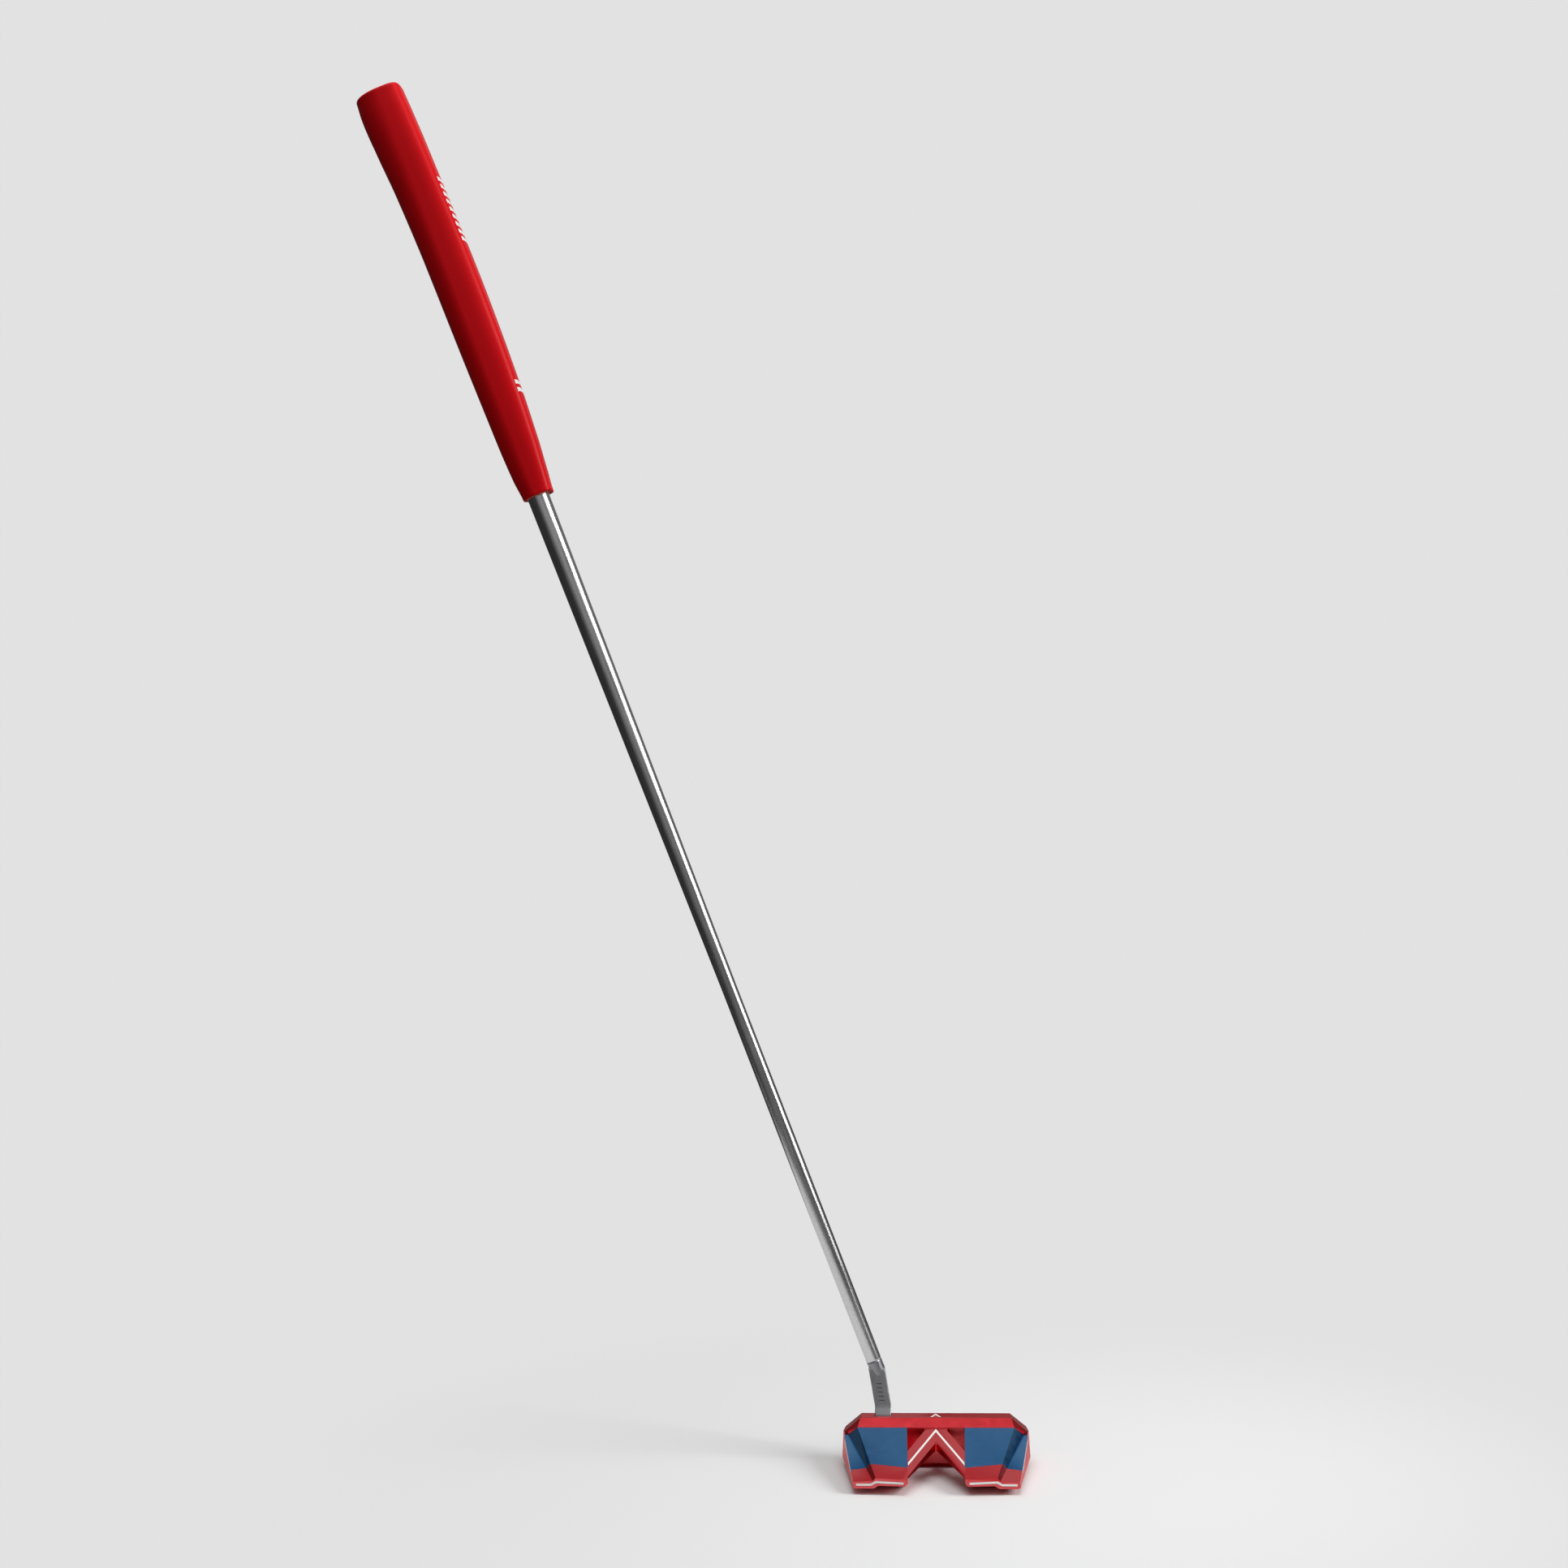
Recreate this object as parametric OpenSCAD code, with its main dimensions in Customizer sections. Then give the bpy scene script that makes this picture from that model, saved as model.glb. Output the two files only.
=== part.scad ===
// Mallet putter: head, bolted-in neck, tapered shaft and pistol grip.
// Origin: middle of the front block's flat sole, on the ground.
// +X runs from heel to toe, +Y towards the target, +Z up. Millimetres.

/* [Club] */
// Length from the ground to the butt, along the shaft
club_length = 889; // [850:1:1066]
// Angle between the shaft and the ground, degrees
lie_angle = 69.5; // [68:0.5:73]
// How far the shaft's axis runs ahead of the face
shaft_lead = 4; // [2:0.5:6]

/* [Head] */
// Widest heel-to-toe width
head_w = 112; // [100:1:130]
// Depth from the face to the wing tips
head_depth = 72.2; // [66:0.2:86.6]
// Height of the topline above the ground
head_h = 28; // [26:0.5:32]
// Depth of the front block at the sole
block_d = 17.6; // [16:0.2:21]
// Depth of the flat top of the block
topline_d = 10.6; // [8:0.2:12]
// Sideways run of the sloping shoulder beside the topline
shoulder_run = 11.6; // [8:0.2:14]
// Slope of the shoulder, degrees
shoulder_angle = 39; // [32:1:42]
// Drop of the bevel along the back of the topline
bevel_drop = 3.8; // [3:0.1:5]
// Distance from the face back to the widest station
widest_set = 12; // [8:0.5:14]
// Sideways cut of the front corners, from the widest station
corner_cut = 1.9; // [1:0.1:3]
// Sideways taper of the wings, from the widest station to the tips
wing_taper = 8.5; // [6:0.5:12]
// Inward lean of the outer walls, degrees
wall_draft = 5; // [1:0.5:8]
// Height of the outer wall's lower edge, at the front
edge_front_h = 5.3; // [4:0.1:6]
// Height of the outer wall's lower edge, at the wing tips
edge_rear_h = 4.2; // [3:0.1:5]
// Width of the bevel around the sole
sole_bevel = 9; // [6:0.5:11]

/* [Wings] */
// Width of the channel between the wings, at the block
channel_front_w = 34.2; // [28:0.2:42]
// Width of the channel between the wing tips
channel_rear_w = 32.8; // [27:0.2:40]
// Height of the deck at the wing tips
deck_rear_h = 9.5; // [8.5:0.1:12]
// Inset of the deck's crease from the widest side, at the front
crease_front_inset = 9.4; // [8:0.2:12]
// Inset of the deck's crease from the wing's side, at the tips
crease_rear_inset = 13; // [11:0.2:15]
// Slope of the step beside the deck, degrees
step_angle = 46.5; // [40:0.5:52]
// Height of the shelf at the widest station
shelf_front_h = 20; // [19:0.1:21]
// Height of the shelf at the wing tips
shelf_rear_h = 7.4; // [6.5:0.1:8.4]
// Rise of the shelf towards the deck, per millimetre
shelf_rise = 0.1; // [0:0.01:0.1]
// How far the outer corner of a wing tip sits ahead of the inner one
tip_sweep = 2.7; // [0:0.1:5]
// Depth of the rear face under its rim
rear_face_h = 4.1; // [3.4:0.1:4.6]

/* [Wing panels] */
// Thickness of the coloured panels, measured upright
panel_t = 1.6; // [1:0.1:2.2]
// Length of red deck left behind a panel, at the channel
panel_rear_inset = 12.3; // [9:0.1:16]
// Sweep of the panel's rear seam across the deck
panel_sweep = 4.1; // [2:0.1:6]
// Gap around each panel in its pocket
panel_gap = 0.15; // [0.1:0.05:0.3]

/* [V brace] */
// Distance from the block back to the inside of the V
brace_notch_set = 14.8; // [12:0.2:19]
// Distance from the wing tips to the end of the inside of the V
brace_tail = 4.2; // [2:0.2:8]
// Width of each arm of the V
brace_arm_w = 11.2; // [9:0.2:13]
// Drop of the brace below the decks
brace_drop = 0.5; // [0.2:0.1:1]
// Thickness of the brace at the block
brace_front_t = 5.8; // [4:0.2:7]
// Thickness of the brace at the wing tips
brace_rear_t = 1.1; // [0.8:0.1:2.4]
// Radius in the inner corners of the two windows
window_corner_r = 2; // [1:0.1:3]

/* [Sight lines] */
// Width of the white lines
line_w = 1.5; // [1:0.1:2]
// Depth of the filled grooves
line_depth = 0.4; // [0.3:0.1:0.8]
// Depth of the chevron on the topline, front to back
chevron_d = 5.8; // [5:0.2:8]
// Width of the silver strips on the outer walls
strip_w = 1.3; // [0.8:0.1:2]
// Length of the silver strips
strip_l = 38; // [30:1:42]

/* [Face insert] */
// Width of the face insert
insert_w = 52; // [40:1:54]
// Height of the face insert
insert_h = 17; // [14:0.5:18]
// Thickness of the face insert
insert_t = 3; // [2:0.2:3.6]
// Corner radius of the face insert
insert_r = 4; // [2:0.5:6]

/* [Sole weights] */
// Radius of each weight
weight_r = 7.5; // [6:0.1:8]
// Height of each weight
weight_h = 9; // [7.5:0.1:10]
// Distance from the widest side to a weight's axis
weight_inset = 18; // [17:0.2:20]
// Distance from the block's rear wall forward to a weight's axis
weight_ahead = 2; // [1:0.2:4]
// Thread radius of the weight screws
weight_screw_r = 2.5; // [2:0.1:3]
// Thread length of the weight screws that grips the head
weight_thread = 6.4; // [4:0.8:8]
// Clearance between weight and pocket, on the radius
weight_gap = 0.1; // [0.05:0.01:0.1]

/* [Neck] */
// Distance from the topline's heel corner to the neck's toe side
neck_inset = 17.7; // [14.8:0.1:20.8]
// Width of the neck
neck_w = 9.6; // [8:0.1:11.5]
// Depth of the neck at the topline
neck_foot_d = 6.2; // [5:0.1:7]
// Height of the flared foot above the topline
neck_foot_h = 4.8; // [3:0.1:7]
// Run of the foot's flare
neck_flare = 2.6; // [1:0.1:3]
// Sideways lean of the neck from foot to bend
neck_lean = 3.7; // [1:0.1:6]
// Distance from the ground to the shaft joint, along the shaft
neck_joint = 62.8; // [58:0.2:70]
// Length of the round post below the joint
neck_post = 8; // [6:0.5:10]
// Length of the spigot inside the shaft
spigot_l = 28; // [20:1:35]
// Depth of the tenon in the topline
tenon_depth = 8; // [6:0.5:10]
// Thread radius of the neck screw
neck_screw_r = 2.1; // [1.8:0.1:2.5]

/* [Shaft] */
// Outer diameter of the shaft at the tip
shaft_tip_d = 9.4; // [8.8:0.1:11.2]
// Outer diameter of the shaft at the butt
shaft_butt_d = 14.7; // [14:0.1:16]
// Wall of the shaft
shaft_wall = 0.6; // [0.4:0.05:0.8]
// Length of the parallel butt section
shaft_butt_l = 180; // [150:5:220]
// Distance from the butt to the end of the taper
shaft_taper_end = 585; // [520:5:640]
// Thickness of the bond around the spigot
bond_t = 0.2; // [0.1:0.05:0.3]

/* [Grip] */
// Length of the grip
grip_l = 265; // [250:1:275]
// Extra girth all round, over the standard section
grip_build = 0; // [-0.5:0.1:2]
// Thickness of the grip's skin
skin_t = 1.8; // [1.2:0.1:2.2]
// Thickness of the tape under the grip
tape_t = 0.25; // [0.15:0.05:0.4]
// Radius of the rounded butt rim
butt_r = 1.8; // [1.5:0.1:3.5]
// Radius of the butt cap
cap_r = 9.2; // [8.6:0.1:9.8]
// Thickness of the butt cap
cap_t = 4; // [3:0.5:5]
// Radius of the vent hole in the butt cap
vent_r = 1.5; // [1:0.1:2]

/* [Hidden] */
$fn = 96;
eps = 0.01;
span = 260;

// Plan of the head: half widths, and places along Y
half_w = head_w / 2;
face_y = block_d / 2;
block_y = -block_d / 2;
widest_y = face_y - widest_set;
tip_y = face_y - head_depth;
outer_tip_y = tip_y + tip_sweep;
topline_half = half_w - shoulder_run;
tip_half = half_w - wing_taper;
channel_front = channel_front_w / 2;
channel_rear = channel_rear_w / 2;
crease_front = half_w - crease_front_inset;
crease_rear = tip_half - crease_rear_inset;
panel_corner_lead = 2.6;
panel_corner_out = 5.8;
panel_side_lead = 0.6;
inside = [half_w / 2, 0, head_h / 3];

// Heights of the head's surfaces
topline_rear_y = face_y - topline_d;
deck_front_h = head_h - bevel_drop;
shoulder_drop = shoulder_run * tan(shoulder_angle);
corner_h = head_h - shoulder_drop;

// Weights
weight_x = half_w - weight_inset;
weight_y = block_y + weight_ahead;
weight_low = 0.3;
weight_head_r = weight_screw_r + 1.8;
weight_head_h = 2.8;
clip_t = 0.6;
clip_r = weight_screw_r + 1.5;
clip_set = 1.2;
screw_gap = 0.06;
bore_gap = 0.2;
counterbore_gap = 0.15;
seat_gap = 0.1;
groove_depth = 0.4;
thread_low = weight_low + weight_h + seat_gap;
drive_r = weight_screw_r * 0.62;

// Neck and shaft
neck_x = -(topline_half - neck_inset + neck_w / 2);
neck_front_y = face_y - 0.4;
neck_rear_y = neck_front_y - neck_foot_d;
neck_collar = 4.6;
neck_bend = neck_joint - neck_collar;
bend_z = neck_bend * sin(lie_angle);
foot_top = head_h + neck_foot_h;
blade_d = shaft_tip_d - 1.6;
neck_front_run = 1.6;
neck_bore_l = tenon_depth + neck_foot_h - 2;
shaft_y = face_y + shaft_lead;
shaft_ground_x = neck_x - neck_lean + neck_bend * cos(lie_angle);
joint_down = club_length - neck_joint;
tip_r = shaft_tip_d / 2;
butt_shaft_r = shaft_butt_d / 2;
spigot_r = tip_r - shaft_wall - bond_t;
tenon_gap = 0.25;
neck_head_r = neck_screw_r + 2;
neck_head_h = 4;
neck_screw_low = 0.4;

// Face insert, chevron and side strips
insert_low = 6.5;
insert_gap = 0.1;
chevron_spread = 0.47;
chevron_lead = 2.5;
strip_lead = -6;
strip_down = 1.8;

// Grip: distance from the butt, front, back and side of the section, at a few stations
grip_stations = [
    [0, 12.6, 16.6, 12.8],
    [0.05, 13.2, 17.4, 13.2],
    [0.12, 13.9, 16.6, 13.3],
    [0.23, 14.5, 14.7, 13.0],
    [0.37, 15.2, 13.4, 12.7],
    [0.49, 15.5, 13.0, 12.5],
    [0.63, 15.1, 12.7, 12.0],
    [0.77, 14.0, 12.2, 11.2],
    [0.88, 12.4, 11.7, 10.4],
    [0.95, 10.8, 10.8, 9.8],
    [1, 9.6, 9.3, 9.3]
];
grip_sides = 48;
grip_rings = 26;
core_sides = 24;
core_rings = 12;
butt_steps = 5;
flat_power = 0.5;
round_power = 0.95;
mark_start = 63;
mark_pitch = 4.9;
mark_count = 9;
mark_l = 2.6;
low_mark_start = 195;
print_t = 0.12;
print_gap = 0.03;
shaft_top = cap_t + 1;

// ---------- Helpers ----------

// Everything on one side of the plane through a, b and c: the side that holds the point "kept"
module half_space(a, b, c, kept) {
    raw = cross(b - a, c - a);
    out = raw * (kept - a) > 0 ? -raw : raw;
    translate(a)
        rotate([0, acos(out[2] / norm(out)), atan2(out[1], out[0])])
            translate([-span, -span, -span])
                cube([2 * span, 2 * span, span]);
}

// Children as they are on the toe side, or mirrored to the heel side
module on_side(heel) {
    mirror([heel ? 1 : 0, 0, 0])
        children();
}

// Frame of the shaft: origin at the butt, +Z out of the butt, +X towards the thumbs
module along_shaft() {
    translate([
        shaft_ground_x - club_length * cos(lie_angle),
        shaft_y,
        club_length * sin(lie_angle)
    ])
        rotate([0, lie_angle - 90, 0])
            children();
}

// Direction of one stretch of a bent line
function heading(points, i) = (points[i + 1] - points[i]) / norm(points[i + 1] - points[i]);

// Sideways step at a point of a bent line that keeps both its stretches one unit away
function mitre(points, i) =
    let (a = heading(points, max(i - 1, 0)))
    let (b = heading(points, min(i, len(points) - 2)))
    let (across = [-a[1] - b[1], a[0] + b[0]])
    across / (across * [-a[1], a[0]]);

// Band of one width along a bent line, mitred at its corners and square at its ends
module band(points, w) {
    last = len(points) - 1;
    polygon(concat(
        [for (i = [0 : last]) points[i] + mitre(points, i) * w / 2],
        [for (i = [last : -1 : 0]) points[i] - mitre(points, i) * w / 2]
    ));
}

// ---------- Head surfaces, toe side ----------

// Under the deck and its step, or under the lower shelf, lowered by "drop"
module under_skin(drop) {
    crease_a = [crease_front, block_y, deck_front_h - drop];
    crease_b = [crease_rear, tip_y, deck_rear_h - drop];
    step_c = crease_a + [1, 0, -tan(step_angle)];
    shelf_a = [half_w, widest_y, shelf_front_h - drop];
    shelf_b = [tip_half, outer_tip_y, shelf_rear_h - drop];
    low = [crease_rear, tip_y / 2, -span / 2];
    intersection() {
        half_space([0, block_y, deck_front_h - drop], crease_a, crease_b, low);
        half_space(crease_a, crease_b, step_c, low);
    }
    half_space(shelf_a, shelf_b, shelf_a + [-1, 0, shelf_rise], low);
}

// Outer wall and the bevel around the sole
module inside_walls() {
    lean = tan(wall_draft);
    wall_a = [half_w, widest_y, edge_front_h];
    wall_b = [tip_half + lean * edge_rear_h, outer_tip_y, edge_rear_h];
    intersection() {
        half_space(wall_a, wall_b, wall_b + [-lean, 0, 1], inside);
        half_space(wall_a, wall_b, [half_w - sole_bevel, widest_y, 0], inside);
        half_space([0, face_y, 2.2], [1, face_y, 2.2], [0, face_y - 3, 0], inside);
    }
}

// Plan of one wing from the block to the tip
module wing_plan() {
    polygon([
        [channel_front, block_y],
        [channel_rear, tip_y],
        [tip_half + 3, tip_y + tip_sweep * (tip_half + 3 - channel_rear) / (tip_half - channel_rear)],
        [half_w + 3, block_y],
        [half_w + 1, block_y + panel_side_lead],
        [crease_front + panel_corner_out, block_y + panel_corner_lead],
        [crease_front, block_y]
    ]);
}

// Lower profile of the wing's tip, seen from behind: it follows the step of the rim
rear_face_low = deck_rear_h - rear_face_h;
tip_corner_cut = 1.6;
tip_corner_rise = 2.5;
tip_face_rise = 0.4;
tip_step_in = 1.4;
tip_step_out = 1.5;
function tip_profile() = [
    [channel_rear - 1, rear_face_low + tip_corner_rise],
    [channel_rear + tip_corner_cut, rear_face_low],
    [crease_rear - tip_step_in, rear_face_low + tip_face_rise],
    [crease_rear + tip_step_out, edge_rear_h],
    [tip_half + 6, edge_rear_h]
];

// Material cut away under the wing's tip, rising to the rear face
module tip_undercut() {
    profile = tip_profile();
    rise = 15;
    low = [[tip_half + 6, -20], [channel_rear - 1, -20]];
    translate([0, tip_y, 0])
        rotate([90 - rise, 0, 0])
            translate([0, 0, -span / 4])
                linear_extrude(span / 2)
                    polygon(concat(profile, low));
}

// One wing, before its pockets
module wing() {
    difference() {
        intersection() {
            linear_extrude(head_h)
                wing_plan();
            under_skin(0);
            inside_walls();
        }
        tip_undercut();
    }
}

// Half of the front block, before its pockets
module block_half() {
    shoulder_a = [topline_half, face_y, head_h];
    shoulder_b = [half_w, face_y, corner_h];
    shoulder_c = [topline_half + 0.6, topline_rear_y, head_h];
    bevel_b = [crease_front, block_y, deck_front_h];
    bevel_c = [half_w - 1.2, block_y + 1.2, shelf_front_h - 1.2];
    intersection() {
        linear_extrude(head_h)
            polygon([
                [0, block_y],
                [0, face_y],
                [half_w - corner_cut, face_y],
                [half_w, widest_y],
                [half_w, block_y]
            ]);
        half_space(shoulder_a, shoulder_b, shoulder_c, inside);
        half_space(
            [0, topline_rear_y, head_h],
            [1, topline_rear_y, head_h],
            [0, block_y, deck_front_h],
            inside
        );
        half_space(shoulder_c, bevel_b, bevel_c, inside);
        inside_walls();
    }
}

// ---------- V brace ----------

notch_y = block_y - brace_notch_set;
brace_angle = atan(channel_rear / (notch_y - (tip_y + brace_tail)));
arm_apex_y = notch_y + brace_arm_w / sin(brace_angle);
function arm_y(apex, x) = apex - x / tan(brace_angle);

// One window between the block, a wing and an arm of the V, toe side
module window_plan() {
    r = window_corner_r;
    near = (arm_apex_y - block_y) * tan(brace_angle);
    corner_turn = (90 - brace_angle) / 2;
    hull() {
        translate([near + r / tan(corner_turn), block_y - r])
            circle(r, $fn = 32);
        translate([channel_front + 3, block_y - 1])
            square([1, 1]);
        translate([channel_front + 3, arm_y(arm_apex_y, channel_front + 3)])
            square([1, 1]);
    }
}

// Open space inside the V, rounded at its apex
module notch_plan() {
    r = 1.4;
    far_y = notch_y - 2 * head_depth;
    hull() {
        translate([0, notch_y - r / sin(brace_angle)])
            circle(r, $fn = 32);
        polygon([
            [0, notch_y - 2 * r],
            [-(notch_y - far_y) * tan(brace_angle), far_y],
            [(notch_y - far_y) * tan(brace_angle), far_y]
        ]);
    }
}

// Plan of the V between the wings
module brace_plan() {
    difference() {
        polygon([
            [-channel_front, block_y],
            [channel_front, block_y],
            [channel_rear, tip_y],
            [-channel_rear, tip_y]
        ]);
        window_plan();
        mirror([1, 0])
            window_plan();
        notch_plan();
    }
}

// The V: its top is level with the decks less a small drop, and it thins towards the tips
module brace() {
    top_a = [0, block_y, deck_front_h - brace_drop];
    top_b = [0, tip_y, deck_rear_h - brace_drop];
    low_a = top_a - [0, 0, brace_front_t];
    low_b = top_b - [0, 0, brace_rear_t];
    intersection() {
        linear_extrude(head_h)
            brace_plan();
        half_space(top_a, top_b, top_a + [1, 0, 0], low_a);
        half_space(low_a, low_b, low_a + [1, 0, 0], top_a);
    }
}

// ---------- Pockets, grooves and what fills them ----------

// Plan of a wing panel, shrunk by "gap" where it meets the red deck
module panel_plan(gap) {
    seam_y = tip_y + panel_rear_inset;
    polygon([
        [channel_front - 2, block_y - gap],
        [channel_front - 2, seam_y + gap],
        [channel_rear, seam_y + gap],
        [crease_rear + 5.3, seam_y + panel_sweep + gap],
        [half_w, seam_y + panel_sweep - 0.9 + gap],
        [half_w + 1, block_y + panel_side_lead - gap],
        [crease_front + panel_corner_out, block_y + panel_corner_lead - gap],
        [crease_front, block_y - gap]
    ]);
}

// Space that a wing panel's pocket takes out of the wing
module panel_pocket() {
    difference() {
        translate([0, 0, -1])
            linear_extrude(head_h + 2)
                panel_plan(0);
        under_skin(panel_t);
    }
}

module wing_panel() {
    difference() {
        intersection() {
            linear_extrude(head_h)
                intersection() {
                    panel_plan(panel_gap);
                    wing_plan();
                }
            under_skin(0);
            inside_walls();
        }
        under_skin(panel_t);
    }
}

// Chevron on the topline
module chevron_plan(w) {
    apex_y = face_y - chevron_lead;
    half = chevron_d * chevron_spread;
    band([[-half, apex_y - chevron_d], [0, apex_y], [half, apex_y - chevron_d]], w);
}

// White V on the brace
module sight_plan(w) {
    apex_y = block_y - 2;
    intersection() {
        band([
            [-span * tan(brace_angle), apex_y - span],
            [0, apex_y],
            [span * tan(brace_angle), apex_y - span]
        ], w);
        polygon([
            [-channel_front + 0.3, block_y - 0.3],
            [channel_front - 0.3, block_y - 0.3],
            [channel_rear - 0.3, tip_y],
            [-channel_rear + 0.3, tip_y]
        ]);
    }
}

// Layer of the brace's top, "depth" thick
module brace_layer(depth) {
    top_a = [0, block_y, deck_front_h - brace_drop];
    top_b = [0, tip_y, deck_rear_h - brace_drop];
    low_a = top_a - [0, 0, depth];
    low_b = top_b - [0, 0, depth];
    intersection() {
        half_space(top_a, top_b, top_a + [1, 0, 0], low_a);
        half_space(low_a, low_b, low_a + [1, 0, 0], top_a);
    }
}

// Bent line on a wing's rear face, in the plane of that face
module rear_line(w, depth) {
    sweep = atan(tip_sweep / (tip_half - channel_rear));
    mid = deck_rear_h - rear_face_h * 0.46;
    low_mid = (edge_rear_h + shelf_rear_h) / 2 + 0.25;
    translate([channel_rear, tip_y, 0])
        rotate([90, 0, sweep])
            translate([0, 0, -depth])
                linear_extrude(depth + 1)
                    band([
                        [2.2, mid - 0.4],
                        [crease_rear - channel_rear + 0.2, mid],
                        [crease_rear - channel_rear + 3, low_mid],
                        [tip_half - channel_rear - 1, low_mid - 0.3]
                    ], w);
}

// Silver strip on the outer wall, below the shelf's edge
module side_strip(depth) {
    top_l = norm([half_w - tip_half, widest_y - outer_tip_y]);
    turn = atan2(half_w - tip_half, widest_y - outer_tip_y);
    fall = atan((shelf_front_h - shelf_rear_h) / top_l);
    lean = half_w - tan(wall_draft) * (shelf_front_h - edge_front_h);
    translate([lean, widest_y, shelf_front_h])
        rotate([0, 0, -turn])
            rotate([fall, 0, 0])
                translate([-depth, strip_lead - strip_l, -strip_down - strip_w])
                    cube([depth + 2, strip_l, strip_w]);
}

// ---------- Head pieces ----------

module weight_pocket() {
    translate([weight_x, weight_y, -1])
        cylinder(r = weight_r + weight_gap, h = 1 + thread_low);
    translate([weight_x, weight_y, 0])
        cylinder(r = weight_screw_r + screw_gap, h = thread_low + weight_thread + 1);
}

module insert_plan(gap) {
    low = insert_low;
    x = insert_w / 2 - insert_r;
    for (i = [-1, 1])
        for (z = [low + insert_r, low + insert_h - insert_r])
            translate([i * x, z])
                circle(insert_r + gap);
    translate([-insert_w / 2 - gap, low + insert_r])
        square([insert_w + 2 * gap, insert_h - 2 * insert_r]);
    translate([-x, low - gap])
        square([2 * x, insert_h + 2 * gap]);
}

module insert_shape(gap, depth) {
    translate([0, face_y - depth, 0])
        rotate([90, 0, 0])
            mirror([0, 0, 1])
                linear_extrude(depth + gap * 10)
                    insert_plan(gap);
}

module neck_pocket() {
    translate([neck_x - neck_w / 2 - tenon_gap, neck_rear_y - tenon_gap, head_h - tenon_depth])
        cube([neck_w + 2 * tenon_gap, neck_foot_d + tenon_gap, tenon_depth + 1]);
    translate([neck_x, neck_rear_y + neck_foot_d / 2, -1])
        cylinder(r = neck_screw_r + bore_gap, h = head_h);
    translate([neck_x, neck_rear_y + neck_foot_d / 2, -1])
        cylinder(r = neck_head_r + 2 * counterbore_gap, h = 1 + neck_screw_low + neck_head_h);
}

// Bevel under the block's rear wall, between the wings
module channel_bevel() {
    run = 3;
    translate([-channel_front, 0, 0])
        rotate([90, 0, 90])
            linear_extrude(2 * channel_front)
                polygon([
                    [block_y - 1, -1],
                    [block_y - 1, run + 1],
                    [block_y + run + 1, -1]
                ]);
}

module head_body() {
    color("crimson")
        difference() {
            union() {
                for (heel = [false, true])
                    on_side(heel)
                        difference() {
                            union() {
                                block_half();
                                wing();
                            }
                            panel_pocket();
                        }
                brace();
            }
            for (heel = [false, true])
                on_side(heel) {
                    weight_pocket();
                    rear_line(line_w, line_depth);
                    side_strip(line_depth);
                }
            translate([0, 0, head_h - line_depth])
                linear_extrude(1)
                    chevron_plan(line_w);
            intersection() {
                linear_extrude(head_h)
                    sight_plan(line_w);
                brace_layer(line_depth);
            }
            insert_shape(insert_gap, insert_t);
            neck_pocket();
            channel_bevel();
        }
}

module face_insert() {
    color("gainsboro")
        insert_shape(0, insert_t - eps);
}

module heel_wing_panel() {
    color("steelblue")
        on_side(true)
            wing_panel();
}

module toe_wing_panel() {
    color("steelblue")
        on_side(false)
            wing_panel();
}

module topline_chevron() {
    color("white")
        translate([0, 0, head_h - line_depth])
            linear_extrude(line_depth)
                chevron_plan(line_w);
}

module brace_sight_line() {
    color("white")
        intersection() {
            linear_extrude(head_h)
                sight_plan(line_w);
            brace_layer(line_depth);
        }
}

// The piece of a shape that lies inside the finished wing
module wing_inlay() {
    intersection() {
        children();
        wing();
    }
}

module heel_rear_line() {
    color("white")
        on_side(true)
            wing_inlay()
                rear_line(line_w, line_depth);
}

module toe_rear_line() {
    color("white")
        on_side(false)
            wing_inlay()
                rear_line(line_w, line_depth);
}

module heel_side_strip() {
    color("silver")
        on_side(true)
            wing_inlay()
                side_strip(line_depth);
}

module toe_side_strip() {
    color("silver")
        on_side(false)
            wing_inlay()
                side_strip(line_depth);
}

// ---------- Sole weights ----------

module weight() {
    translate([weight_x, weight_y, weight_low])
        difference() {
            cylinder(r = weight_r, h = weight_h);
            translate([0, 0, -1])
                cylinder(r = weight_screw_r + bore_gap, h = weight_h + 2);
            translate([0, 0, -1])
                cylinder(r = weight_head_r + counterbore_gap, h = weight_head_h + 1);
            translate([0, 0, weight_h - clip_set])
                cylinder(r = clip_r + 2 * counterbore_gap, h = clip_set + 1);
        }
}

module weight_screw() {
    groove_low = weight_low + weight_h - clip_set + seat_gap;
    translate([weight_x, weight_y, 0])
        difference() {
            union() {
                translate([0, 0, weight_low])
                    cylinder(r = weight_head_r, h = weight_head_h);
                cylinder(r = weight_screw_r, h = thread_low + weight_thread);
            }
            translate([0, 0, -1])
                cylinder(r = weight_head_r + 1, h = 1 + weight_low);
            translate([0, 0, weight_low - 1])
                cylinder(r = drive_r, h = 1 + weight_head_h * 0.8, $fn = 6);
            translate([0, 0, groove_low])
                difference() {
                    cylinder(r = weight_screw_r + 1, h = clip_t);
                    translate([0, 0, -1])
                        cylinder(r = weight_screw_r - groove_depth, h = clip_t + 2);
                }
        }
}

module weight_clip() {
    groove_low = weight_low + weight_h - clip_set + seat_gap;
    translate([weight_x, weight_y, groove_low])
        difference() {
            cylinder(r = clip_r, h = clip_t);
            translate([0, 0, -1])
                cylinder(r = weight_screw_r - groove_depth, h = clip_t + 2);
            translate([0, -weight_screw_r * 0.6, -1])
                cube([clip_r + 1, weight_screw_r * 1.2, clip_t + 2]);
        }
}

module heel_weight() {
    color("dimgray")
        on_side(true)
            weight();
}

module heel_weight_screw() {
    color("darkgray")
        on_side(true)
            weight_screw();
}

module heel_weight_clip() {
    color("black")
        on_side(true)
            weight_clip();
}

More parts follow.
